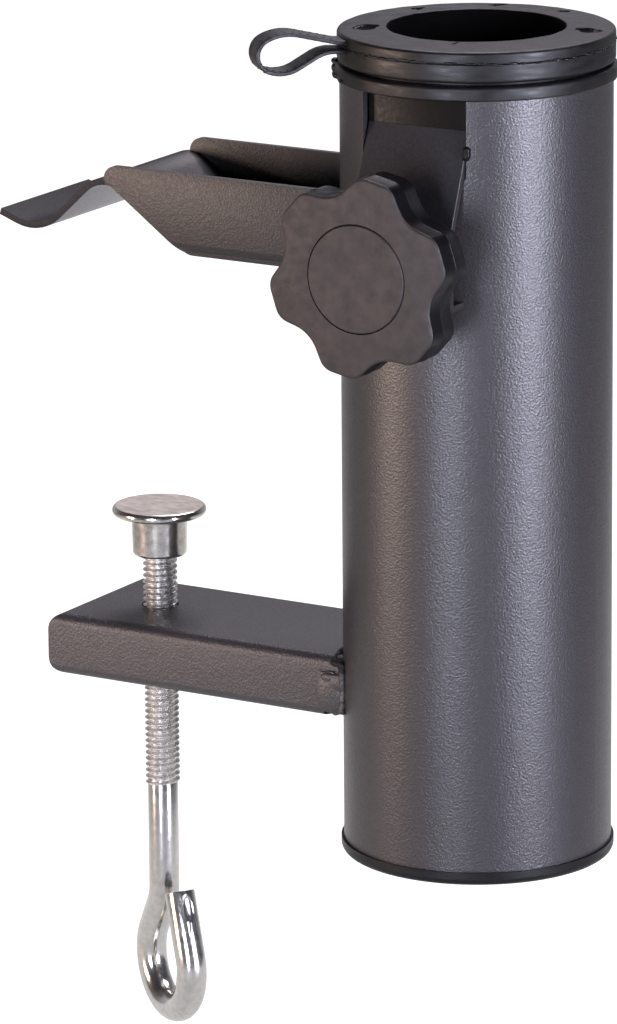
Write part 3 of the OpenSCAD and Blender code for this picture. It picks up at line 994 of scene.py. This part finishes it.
    def pit(self, ring: bpy.types.Object, azimuth: float, radius: float, size: Triple) -> None:
        """Cuts one ragged pit of overlapping hollows into a ring's face.

        Args:
            ring: The ring.
            azimuth: The pit's angle round the axis, in degrees.
            radius: Its distance from the axis, in millimetres.
            size: Its half sizes.
        """
        spot = heading(azimuth) * radius
        rng = random.Random(int(azimuth))
        for k in range(4):
            off = heading(azimuth + 90.0 * k + rng.uniform(-30, 30))
            place = (spot.x + off.x * size[0] * 0.45, spot.y + off.y * size[1] * 0.45, self.top_z + 0.45)
            lump = [part * rng.uniform(0.45, 0.7) for part in size[:2]]
            cut(ring, blob("pit", place, (*lump, size[2]), azimuth + rng.uniform(0, 90)))

    def painted_shade_faces(self, place: Vector, normal: Vector) -> bool:
        """Whether a face lies in the pole's bore or in a pit, where the black painted shade goes."""
        around = math.hypot(place.x, place.y)
        if around < self.bore_r + 0.3:
            return normal.x * place.x + normal.y * place.y < -0.5 * around
        rise = self.crown * max(0.0, min(1.0, (self.crown_r - around) / 7.0))
        near = any((place.xy - heading(a) * r).length < max(s) * 1.3 for a, r, s in self.pits)
        return near and self.inner_z + 1.0 < place.z < self.top_z - 0.25 + rise

    def flash(self, height: float, seed: int) -> list[bpy.types.Object]:
        """Ragged flash along a parting line.

        Args:
            height: Height of the line, in millimetres.
            seed: Seed of its unevenness.

        Returns:
            Thin torn lumps round the ring.
        """
        rng = random.Random(seed)
        scraps: list[bpy.types.Object] = []
        azimuth = 0.0
        while azimuth < 360.0:
            spot = heading(azimuth) * (self.rim_r - 0.1)
            size = (rng.uniform(0.2, 0.5), rng.uniform(0.5, 1.9), rng.uniform(0.12, 0.4))
            scraps.append(blob("scrap", (spot.x, spot.y, height + rng.uniform(-0.2, 0.25)), size, azimuth))
            azimuth += rng.uniform(2.4, 6.5)
        return scraps

    def strap(self, finishes: Finishes) -> None:
        """Builds the strap: a ribbon bent into a loop, with a row of dashes along each of its edges."""
        path = walk((self.rim_r - 0.3, self.inner_z + 1.4), 0.0, self.strap_legs)
        half = self.strap_w / 2
        ribbon = line("strap_ribbon", [(x, -half, z) for x, z in path], closed=False)
        with editing(ribbon, Element.EDGE):
            for width in (self.strap_hem, self.strap_w - 2 * self.strap_hem, self.strap_hem):
                bpy.ops.mesh.extrude_edges_move(TRANSFORM_OT_translate={"value": (0, width * MM, 0)})
        modify(ribbon, "SOLIDIFY", thickness=self.strap_t * MM, offset=0.0)
        tidy_mesh(ribbon)
        pick(ribbon, Element.FACE, lambda p, n: abs(n.y) > 0.9)
        with editing(ribbon, Element.FACE):
            bpy.ops.mesh.inset(thickness=0.3 * MM, depth=0.0, use_boundary=True)
        break_edges(ribbon, 0.3, 50)
        pieces = [ribbon]
        for edge in (-1, 1):
            pieces.extend(self.beads(path, edge * (half - 1.0)))
        obj = join("strap_ribbon", pieces)
        obj.rotation_euler = (0, 0, math.radians(self.strap_azimuth))
        settle(obj)
        smooth(obj, 45)
        dress(obj, finishes.strap)
        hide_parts("tether_strap")
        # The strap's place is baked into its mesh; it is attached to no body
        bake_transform(obj)
        LOG.info("piece %s between the rings, %d faces", obj.name, len(obj.data.polygons))

    def beads(self, path: Sequence[Point], y: float) -> list[bpy.types.Object]:
        """Beads on both faces of the ribbon along one edge.

        Args:
            path: The ribbon's middle line.
            y: Distance of the beads from the ribbon's middle.

        Returns:
            The beads.
        """
        beads: list[bpy.types.Object] = []
        due = self.bead_pitch
        for (x0, z0), (x1, z1) in zip(path, path[1:]):
            run = Vector((x1 - x0, z1 - z0))
            while due <= run.length:
                at = Vector((x0, z0)) + run.normalized() * due
                if at.x > self.rim_r + self.bead_start:
                    slope = -math.atan2(run.y, run.x)
                    deselect()
                    bpy.ops.mesh.primitive_ico_sphere_add(
                        subdivisions=2, radius=MM, location=(at.x * MM, y * MM, at.y * MM),
                        rotation=(0, slope, 0), scale=(*self.bead_half, self.strap_t / 2 + self.bead_proud),
                    )
                    beads.append(named("bead"))
                due += self.bead_pitch
            due -= run.length
        return beads

    def build(self, finishes: Finishes) -> None:
        """Builds the three rings and the strap."""
        self.collar(finishes)
        self.outer(finishes)
        self.inner(finishes)
        self.strap(finishes)


@dataclass
class ClampKnob:
    """Star knob with its cap and threaded bolt, on an axis along Y."""

    axis_z: float = -35.5
    back: float = 42.3
    thickness: float = 10.0
    diameter: float = 44.0
    lobes: int = 6
    lobe_half: float = 10.5
    lobe_round: float = 4.0
    valley: float = 4.3
    valley_round: float = 8.0
    phase: float = 18.0
    face_bevel: float = 0.7
    back_bevel: float = 0.9
    parting: float = 0.52
    parting_half: float = 0.25
    parting_swell: float = 1.007
    flank_depth: float = 0.35
    cap_r: float = 11.8
    cap_depth: float = 2.1
    cap_proud: float = 0.4
    seat_gap: float = 0.24
    seat_offset: Point = (-0.06, -0.05)
    thread_r: float = 3.97
    thread_root: float = 3.3
    pitch: float = 1.411
    tip: float = 23.08
    head_back: float = 45.95
    head_flats: float = 13.0
    head_h: float = 4.5

    def turn_out(self, obj: bpy.types.Object) -> None:
        """Turns a piece built along +Z to the knob's axis."""
        obj.rotation_euler = (math.radians(90), 0, 0)
        obj.location = (0, 0, self.axis_z * MM)
        settle(obj)

    def outline(self) -> list[Point]:
        """Points of the lobed outline, in millimetres."""
        half = self.lobe_half
        corner = self.diameter / 2 / math.cos(math.radians(half))
        hollow = self.diameter / 2 - self.valley
        corners: list[Corner] = []
        for k in range(self.lobes):
            middle = self.phase + 360.0 / self.lobes * k
            for angle, r, rounding in (
                (middle - half, corner, self.lobe_round),
                (middle + half, corner, self.lobe_round),
                (middle + 180.0 / self.lobes, hollow, self.valley_round),
            ):
                spot = heading(angle) * r
                corners.append((spot.x, spot.y, rounding))
        return rounded(corners, 6.0)

    def knob(self, finishes: Finishes) -> None:
        """Builds the knob: lobed slab, rounded rims, parting line, seat for the cap and bore for the bolt."""
        obj = line("star_knob_body", [(x, y, self.back) for x, y in self.outline()], closed=True)
        below = self.parting * self.thickness
        above = self.thickness - below
        half = self.parting_half
        with editing(obj, Element.FACE):
            bpy.ops.mesh.select_all(action="SELECT")
            for step in (below - half, half, half, above - half):
                bpy.ops.mesh.extrude_region_move(TRANSFORM_OT_translate={"value": (0, 0, step * MM)})
        tidy_mesh(obj)
        pick(obj, Element.VERTEX, lambda p, n: abs(p.z - self.back - below) < 0.1)
        with editing(obj):
            bpy.ops.transform.resize(value=(self.parting_swell, self.parting_swell, 1.0))
        face = self.back + self.thickness
        for level, width in ((face, self.face_bevel), (self.back, self.back_bevel)):
            pick(obj, Element.EDGE, lambda p, n: abs(p.z - level) < 0.01)
            with editing(obj, Element.EDGE):
                bpy.ops.mesh.bevel(offset=width * MM, segments=4, profile=0.5, affect="EDGES")
        cut(obj, cylinder("cap_seat", self.cap_r + self.seat_gap, 4.0, (*self.seat_offset, face + 0.2), 96))
        cut(obj, cylinder("bolt_bore", self.thread_r + 0.1, 8.0, (0, 0, self.back), 48))
        smooth(obj, 40)
        self.turn_out(obj)
        place_piece(obj, Body.KNOB, finishes.knob, ["star_knob"])
        # The flanks take a darker plastic as painted shade
        refinish(obj, finishes.shaded_flank, lambda p, n: p.y > self.flank_depth - self.back - self.thickness)

    def cap(self, finishes: Finishes) -> None:
        """Builds the cap: a disc with a soft rim, a hair above the knob's face."""
        face = self.back + self.thickness + self.cap_proud
        profile = rounded(
            [
                (0, face - self.cap_depth, 0), (self.cap_r, face - self.cap_depth, 0),
                (self.cap_r, face - 0.02, 0.32), (self.cap_r - 1.2, face - 0.02, 0), (0, face, 0),
            ]
        )
        obj = lathe("knob_cap_disc", profile, closed=False, steps=96)
        smooth(obj, 40)
        self.turn_out(obj)
        place_piece(obj, Body.KNOB, finishes.knob, ["knob_cap"])

    def bolt(self, finishes: Finishes) -> None:
        """Builds the bolt: a thread along its shank and a hexagon head in the knob."""
        thread = screw_thread(
            "bolt_thread", self.thread_r, self.thread_root, self.pitch, self.tip, self.head_back
        )
        corner = self.head_flats / 2 / math.cos(math.radians(30))
        head = cylinder("bolt_head", corner, self.head_h, (0, 0, self.head_back + self.head_h / 2), 6, 30)
        settle(head)
        break_edges(head, 0.5, 50, segments=2)
        obj = join("clamp_bolt_thread", [thread, head])
        smooth(obj, 40)
        self.turn_out(obj)
        place_piece(obj, Body.KNOB, finishes.zinc, ["clamp_bolt"])

    def build(self, finishes: Finishes) -> None:
        """Builds the knob, its cap and its bolt."""
        self.knob(finishes)
        self.cap(finishes)
        self.bolt(finishes)


@dataclass
class EyeScrew:
    """Clamp screw with a bent eye, standing on an axis along Z, and its swivel pad."""

    axis_x: float = -83.5
    crest: float = 3.97
    root: float = 3.2
    pitch: float = 1.411
    thread_top: float = -119.3
    thread_end: float = -173.6
    head_low: float = -117.5
    head_top: float = -109.9
    neck_r: float = 3.07
    shank_r: float = 3.525
    shank_len: float = 24.4
    eye_azimuth: float = -33.0
    eye_r: float = 11.0
    kick: float = 32.0
    kick_r: float = 9.0
    kick_run: float = 8.6
    eye_turn: float = 201.0
    eye_leg: float = 15.0
    mark_drop: float = 4.4
    mark_size: Triple = (1.5, 0.7, 3.3)
    overlap: float = 1.0

    def rod(self) -> bpy.types.Object:
        """Builds the plain shank and the eye as one bent round bar with a chisel mark by its cut end."""
        legs = [
            (self.shank_len + self.overlap, -self.kick, self.kick_r),
            (self.kick_run, self.eye_turn + self.kick, self.eye_r),
            (self.eye_leg, 0.0, 0.0),
        ]
        path = walk((0.0, self.thread_end + self.overlap), -90.0, legs, 4.0)
        along = heading(self.eye_azimuth)
        deselect()
        bpy.ops.curve.primitive_nurbs_path_add()
        obj = bpy.context.active_object
        curve = obj.data
        curve.splines.clear()
        spline = curve.splines.new("POLY")
        spline.points.add(len(path) - 1)
        for point, (u, z) in zip(spline.points, path):
            point.co = (along.x * u * MM, along.y * u * MM, z * MM, 1.0)
        curve.bevel_depth = self.shank_r * MM
        curve.bevel_resolution = 8
        curve.use_fill_caps = True
        bpy.ops.object.convert(target="MESH")
        obj = named("eye_rod")
        tidy_mesh(obj)
        break_edges(obj, 0.35, 60)
        cut(obj, self.chisel(path[-1]))
        smooth(obj, 40)
        return obj

    def chisel(self, tip: Point) -> bpy.types.Object:
        """The chisel's shape on the outer side of the free leg.

        Args:
            tip: Middle of the leg's cut end: distance along the eye and height, in millimetres.

        Returns:
            The cutting shape.
        """
        along = heading(self.eye_azimuth).to_3d()
        lean = math.radians(self.eye_turn - 180.0)
        up = Vector((0, 0, 1))
        leg = up * math.cos(lean) - along * math.sin(lean)
        out = along * math.cos(lean) + up * math.sin(lean)
        spot = along * tip[0] + up * tip[1] - leg * self.mark_drop + out * (self.shank_r + 0.1)
        tool = blob("chisel_mark", (0, 0, 0), self.mark_size)
        turn = Matrix((out.cross(leg), out, leg)).transposed().to_4x4()
        tool.matrix_world = Matrix.Translation(spot * MM) @ turn
        settle(tool)
        return tool

    def build(self, finishes: Finishes) -> None:
        """Builds the screw: head and neck in the pad, thread, shank and eye; and dresses the pad."""
        thread = screw_thread(
            "eye_thread", self.crest, self.root, self.pitch, self.thread_end, self.thread_top
        )
        foot = self.thread_top - self.overlap / 2
        profile = rounded(
            [
                (0, foot, 0), (self.neck_r, foot, 0), (self.neck_r, self.head_low, 0),
                (self.crest, self.head_low, 0.3), (self.crest, self.head_top, 1.0), (0, self.head_top, 0),
            ]
        )
        neck = lathe("eye_neck", profile, closed=False, steps=48)
        obj = join("eye_screw_thread", [thread, neck, self.rod()])
        obj.location = (self.axis_x * MM, 0, 0)
        settle(obj)
        smooth(obj, 40)
        place_piece(obj, Body.SCREW, finishes.zinc, ["eye_screw"])
        refinish(obj, finishes.thread, lambda p, n: self.thread_end < p.z < self.thread_top)
        dress(bpy.data.objects["clamp_pad"], finishes.pad)


@dataclass
class SteelFrame:
    """Tube, bracket strip, jaw and arm of bent and welded steel."""

    tube_r: float = 30.0
    seam_x: float = -97.0
    strip_half_w: float = 12.5
    strip_fold: float = -7.1
    arm_half_w: float = 19.0
    arm_top: float = -131.0
    arm_bottom: float = -145.3
    jaw_bottom: float = -43.5
    jaw_top: float = -25.0
    lip_x: float = -85.2
    reflection_x: float = -78.0
    root_arc: tuple[Point, ...] = ((-26.5, -14.6), (-30.2, 0.0), (-26.5, 14.6))
    fills: tuple[tuple[Triple, Triple], ...] = (
        ((-3.4, 0.25, -8.3), (3.9, 0.85, 4.9)),
        ((-1.6, 0.1, -6.0), (2.6, 0.8, 2.2)),
        ((-3.6, 0.1, -5.0), (2.2, 0.75, 1.2)),
    )
    root_cuts: tuple[tuple[str, Triple, Triple], ...] = (
        ("groove", (-27.2, -19.4, -134.6), (3.4, 0.9, 0.42)),
        ("bite", (-28.0, -18.0, -145.1), (1.3, 2.2, 1.3)),
        ("gap", (-24.4, -17.4, -146.6), (3.0, 3.6, 2.5)),
    )

    def soften(self, obj: bpy.types.Object, width: float) -> None:
        """Breaks the sharp edges of a sheet piece by a width in millimetres."""
        break_edges(obj, width, 40)
        smooth(obj, 40)

    def bracket(self, finishes: Finishes) -> None:
        """Builds the bent strip behind the knob, with broken edges, a painted highlight on its right edges
        and painted shade above its fold.
        """
        obj = copy_node("knob_bracket", "knob_bracket_strip")
        self.soften(obj, 0.35)
        place_piece(obj, Body.HOLDER, finishes.strip_coat_and_lip_shade, ["knob_bracket"])
        # The strip's right edges take the shinier jaw coat as a painted highlight
        refinish(obj, finishes.sheet, lambda p, n: n.x > 0.6)
        # Above the fold the flange takes near-black painted shade, the shadow under the collar
        refinish(obj, finishes.painted_shade_coat, lambda p, n: p.z > self.strip_fold)

    def jaw(self, finishes: Finishes) -> None:
        """Builds the hooked jaw with broken sheet edges, painted shade on its lip and a painted reflection
        under its crest.
        """
        obj = copy_node("upper_jaw", "hook_jaw_sheet")
        self.soften(obj, 0.3)
        slice_off(obj, (self.lip_x, 0, 0), (1, 0, 0), trim=False)
        # The jaw's coat is darker than the tube's as painted shade
        place_piece(obj, Body.HOLDER, finishes.sheet, ["upper_jaw"])
        # The lip's top and front faces take the darker strip coat as painted shade
        refinish(obj, finishes.strip_coat_and_lip_shade, lambda p, n: p.x < self.lip_x and (n.z > 0.2 or n.y < -0.4))
        # The crest's underside takes a paler, glossier coat as a painted reflection of the floor
        refinish(obj, finishes.underside_reflection, lambda p, n: p.x < self.reflection_x and n.z < -0.2 and abs(n.y) < 0.3)

    def arm(self, finishes: Finishes) -> None:
        """Builds the box arm and its pressed end as one skin without a seam."""
        pieces = [copy_node("lower_arm", "box_arm"), copy_node("arm_end_cap", "box_arm_end")]
        obj = join("box_arm_skin", pieces)
        pick(obj, Element.FACE, lambda p, n: abs(p.x - self.seam_x) < 0.08 and abs(n.x) > 0.9)
        with editing(obj, Element.FACE):
            bpy.ops.mesh.delete(type="FACE")
        tidy_mesh(obj, 0.07)
        for name, place, size in self.root_cuts:
            cut(obj, blob(name, place, size))
        smooth(obj, 30)
        place_piece(obj, Body.HOLDER, finishes.box, ["lower_arm", "arm_end_cap"])

    def bead(
        self, name: str, path: Sequence[Sequence[float]], size: float, seed: int
    ) -> bpy.types.Object:
        """A weld bead: lumps in a row, melted together.

        Args:
            name: The name of the bead.
            path: Corner points of the bead, in millimetres.
            size: Radius of its lumps.
            seed: Seed of their unevenness.

        Returns:
            The bead.
        """
        rng = random.Random(seed)
        lumps: list[bpy.types.Object] = []
        for before, after in zip(path, path[1:]):
            run = Vector(after) - Vector(before)
            count = max(2, round(run.length / (0.75 * size)))
            for k in range(count):
                spot = Vector(before) + run * k / count
                spot += Vector([rng.uniform(-0.18, 0.18) * size for _ in range(3)])
                scale = size * rng.uniform(0.85, 1.2)
                lumps.append(blob("lump", spot, (scale, scale, scale * rng.uniform(0.8, 1.1))))
        obj = join(name, lumps)
        modify(obj, "REMESH", mode="VOXEL", voxel_size=0.3 * MM)
        modify(obj, "SMOOTH", factor=0.5, iterations=6)
        activate(obj)
        bpy.ops.object.shade_smooth()
        return obj

    def seat(self, half_w: float) -> float:
        """Where the tube's surface lies on the negative side, this far from the plane through its axis."""
        return -math.sqrt(self.tube_r**2 - half_w**2)

    def welds(self, finishes: Finishes) -> None:
        """Builds the beads at the roots of the arm, the jaw and the bracket."""
        w = self.arm_half_w
        side = self.seat(w) - 0.5
        top, bottom = self.arm_top, self.arm_bottom
        path = [
            (side, -w, bottom + 2.0), (side, -w, top - 1.2), (side - 2.6, -w, top - 1.4),
            *[(x, y, top + 0.2) for x, y in self.root_arc],
            (side, w, top - 1.2), (side, w, bottom + 1.2),
        ]
        arm = self.bead("arm_root_weld", path, 0.85, 3)
        fill = [blob("fill", (side + x, y - w, top + z), size) for (x, y, z), size in self.fills]
        arm = join("arm_root_weld", [arm, *fill])
        place_piece(arm, Body.HOLDER, finishes.box, ["arm_weld"])
        refinish(arm, finishes.weld, lambda p, n: p.z > top - 3.4)
        top, bottom = self.jaw_top - 1, self.jaw_bottom + 1.2
        path = [(side, -w, top), (side, -w, bottom), (side, w, bottom), (side, w, top)]
        jaw = self.bead("jaw_root_weld", path, 0.9, 5)
        place_piece(jaw, Body.HOLDER, finishes.weld, ["jaw_weld"])
        x = self.strip_half_w + 0.5
        y = self.seat(x) - 0.2
        strip = self.bead("strip_root_weld", [(x, y, -10.4), (x, y, -12.8)], 0.85, 8)
        # The strip's weld takes the near-black coat as painted shade of its pit
        place_piece(strip, Body.HOLDER, finishes.painted_shade_coat, ["bracket_weld"])

    def build(self, finishes: Finishes) -> None:
        """Builds the sheet pieces and welds, and dresses the CAD nodes that stay."""
        self.bracket(finishes)
        self.jaw(finishes)
        self.arm(finishes)
        self.welds(finishes)
        for node, material in (
            ("socket_tube", finishes.coat),
            ("base_plug", finishes.plug),
            ("bolt_tip_cap", finishes.plug),
            ("bracket_nut", finishes.zinc),
            ("arm_nut", finishes.zinc),
        ):
            dress(bpy.data.objects[node], material)


# Studio


def towards(azimuth: float, elevation: float) -> Vector:
    """Unit vector from the holder towards a viewer at these angles, in degrees."""
    a, e = math.radians(azimuth), math.radians(elevation)
    return Vector((math.sin(a) * math.cos(e), -math.cos(a) * math.cos(e), math.sin(e)))


@dataclass(frozen=True)
class Lamp:
    """A soft rectangular studio lamp, placed by its angles round the holder in degrees."""

    name: str
    azimuth: float
    elevation: float
    size: tuple[float, float]
    power: float
    tint: str

    def hang(self, aim: Vector, distance: float) -> None:
        """Adds the lamp and points it at its aim.

        Args:
            aim: The place it lights, in metres.
            distance: Its distance from the origin, in metres.
        """
        place = towards(self.azimuth, self.elevation) * distance
        deselect()
        bpy.ops.object.light_add(type="AREA", location=place)
        lamp = bpy.context.active_object
        lamp.name = self.name
        lamp.rotation_euler = (aim - place).to_track_quat("-Z", "Y").to_euler()
        lamp.data.shape = "RECTANGLE"
        lamp.data.size, lamp.data.size_y = self.size
        lamp.data.energy = self.power
        lamp.data.color = linear(self.tint)[:3]


@dataclass
class Studio:
    """Camera, pale floor and soft lights."""

    azimuth: float = 31.0
    elevation: float = 14.6
    roll: float = -0.46
    distance: float = 1506.5
    target: Triple = (-43.68, 0.0, -104.16)
    lens: float = 234.77
    floor_z: float = -0.25
    lamp_aim: Triple = (-0.02, 0.0, -0.06)
    lamp_distance: float = 0.9
    boxes: tuple[Lamp, ...] = (
        Lamp("cool_right_box", 74, -5, (0.3, 0.74), 23.0, "#e8e9ff"),
        Lamp("front_strip", 8, -2, (0.14, 0.4), 7.5, "#e8ecff"),
        Lamp("warm_left_box", -45, -5, (0.18, 0.3), 5.0, "#ffe2d2"),
        Lamp("back_top_box", 200, 55, (0.5, 0.5), 7.4, "#f8f0fa"),
    )

    def camera(self) -> None:
        """Adds the camera at the photograph's viewing angle."""
        back = towards(self.azimuth, self.elevation)
        right = towards(self.azimuth + 90.0, 0.0)
        up = back.cross(right)
        c, s = math.cos(math.radians(self.roll)), math.sin(math.radians(self.roll))
        across, above = right * c + up * s, up * c - right * s
        deselect()
        bpy.ops.object.camera_add()
        camera = bpy.context.active_object
        camera.name = "photo_camera"
        place = (Vector(self.target) + back * self.distance) * MM
        camera.matrix_world = Matrix.Translation(place) @ Matrix((across, above, back)).transposed().to_4x4()
        camera.data.lens = self.lens
        camera.data.sensor_width = 36.0
        camera.data.clip_end = 50.0
        bpy.context.scene.camera = camera

    def floor(self) -> None:
        """Adds a pale floor that reaches past the view."""
        deselect()
        bpy.ops.mesh.primitive_plane_add(size=24.0, location=(0, 0, self.floor_z))
        floor = named("pale_floor")
        material, tree, shader, place = blank("pale_floor_paint")
        shader.inputs["Base Color"].default_value = linear("#8a8a8a")
        shader.inputs["Roughness"].default_value = 0.9
        shader.inputs["Emission Color"].default_value = linear("#ffffff")
        behind = add_node(
            tree,
            "ShaderNodeMapRange",
            {"From Min": -0.25, "From Max": 0.2, "To Min": 0.1, "To Max": 0.75},
            {"Value": self.along(tree, place, self.azimuth + 180.0)},
        ).outputs["Result"]
        across = self.along(tree, place, self.azimuth + 90.0)
        aside = add_node(tree, "ShaderNodeMath", {"operation": "ABSOLUTE"}, {"Value": across})
        beside = add_node(
            tree,
            "ShaderNodeMapRange",
            {"From Min": 0.2, "From Max": 0.5, "To Min": 1.0, "To Max": 0.25},
            {"Value": aside.outputs["Value"]},
        ).outputs["Result"]
        glow = add_node(tree, "ShaderNodeMath", {"operation": "MULTIPLY"}, {0: behind, 1: beside})
        # What is seen of the floor is pale all over, while its glow on the holder comes from behind
        seen = add_node(tree, "ShaderNodeLightPath").outputs["Is Camera Ray"]
        pale = add_node(tree, "ShaderNodeMath", {"operation": "MAXIMUM"}, {0: glow.outputs["Value"], 1: seen})
        tree.links.new(pale.outputs["Value"], shader.inputs["Emission Strength"])
        dress(floor, material)

    def along(
        self, tree: bpy.types.NodeTree, place: bpy.types.NodeSocket, azimuth: float
    ) -> bpy.types.NodeSocket:
        """How far a place lies from the holder along a level heading.

        Args:
            tree: The node tree.
            place: The place, or a direction.
            azimuth: The heading's angle, in degrees.

        Returns:
            The socket of the distance.
        """
        dot = add_node(tree, "ShaderNodeVectorMath", {"operation": "DOT_PRODUCT"}, {"Vector": place})
        dot.inputs[1].default_value = towards(azimuth, 0.0)
        return dot.outputs["Value"]

    def sky(self) -> None:
        """Lights the holder by a bright backdrop, a dark room and a dark ceiling, and looks pale itself."""
        world = bpy.data.worlds.new("studio_world")
        bpy.context.scene.world = world
        world.use_nodes = True
        tree = world.node_tree
        place = add_node(tree, "ShaderNodeTexCoord").outputs["Generated"]
        height = add_node(tree, "ShaderNodeSeparateXYZ", links={"Vector": place}).outputs["Z"]
        ceiling = add_node(
            tree,
            "ShaderNodeValToRGB",
            {"stops": [(0.1, "#ffffff"), (0.45, "#9c9ca2"), (0.8, "#47474b")]},
            {"Fac": height},
        ).outputs["Color"]
        back = add_node(
            tree,
            "ShaderNodeMapRange",
            {"From Min": -1.0, "From Max": 1.0},
            {"Value": self.along(tree, place, self.azimuth + 180.0)},
        ).outputs["Result"]
        room = add_node(
            tree,
            "ShaderNodeValToRGB",
            {"stops": [(0.3, "#2c2c30"), (0.62, "#3f3f45"), (0.88, "#c4c4ca")]},
            {"Fac": back},
        ).outputs["Color"]
        both = add_node(tree, "ShaderNodeVectorMath", {"operation": "MULTIPLY"}, {0: room, 1: ceiling})
        seen = add_node(tree, "ShaderNodeLightPath").outputs["Is Camera Ray"]
        pale = add_node(tree, "ShaderNodeMix", {"data_type": "RGBA", 7: linear("#ffffff")}, {"Factor": seen})
        tree.links.new(both.outputs["Vector"], pale.inputs[6])
        tree.links.new(pale.outputs[2], tree.nodes["Background"].inputs["Color"])

    def build(self) -> None:
        """Builds the camera, the floor and the lights."""
        self.camera()
        self.floor()
        self.sky()
        for box in self.boxes:
            box.hang(Vector(self.lamp_aim), self.lamp_distance)
        bpy.context.scene.view_settings.view_transform = "Standard"


def main() -> None:
    """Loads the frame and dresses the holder."""
    logging.basicConfig(level=logging.INFO, format="%(name)s: %(message)s")
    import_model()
    Studio().build()
    finishes = Finishes()
    for assembly in (SteelFrame(), RingStack(), ClampKnob(), EyeScrew()):
        assembly.build(finishes)
        LOG.info("built %s", type(assembly).__name__)


if __name__ == "__main__":
    main()
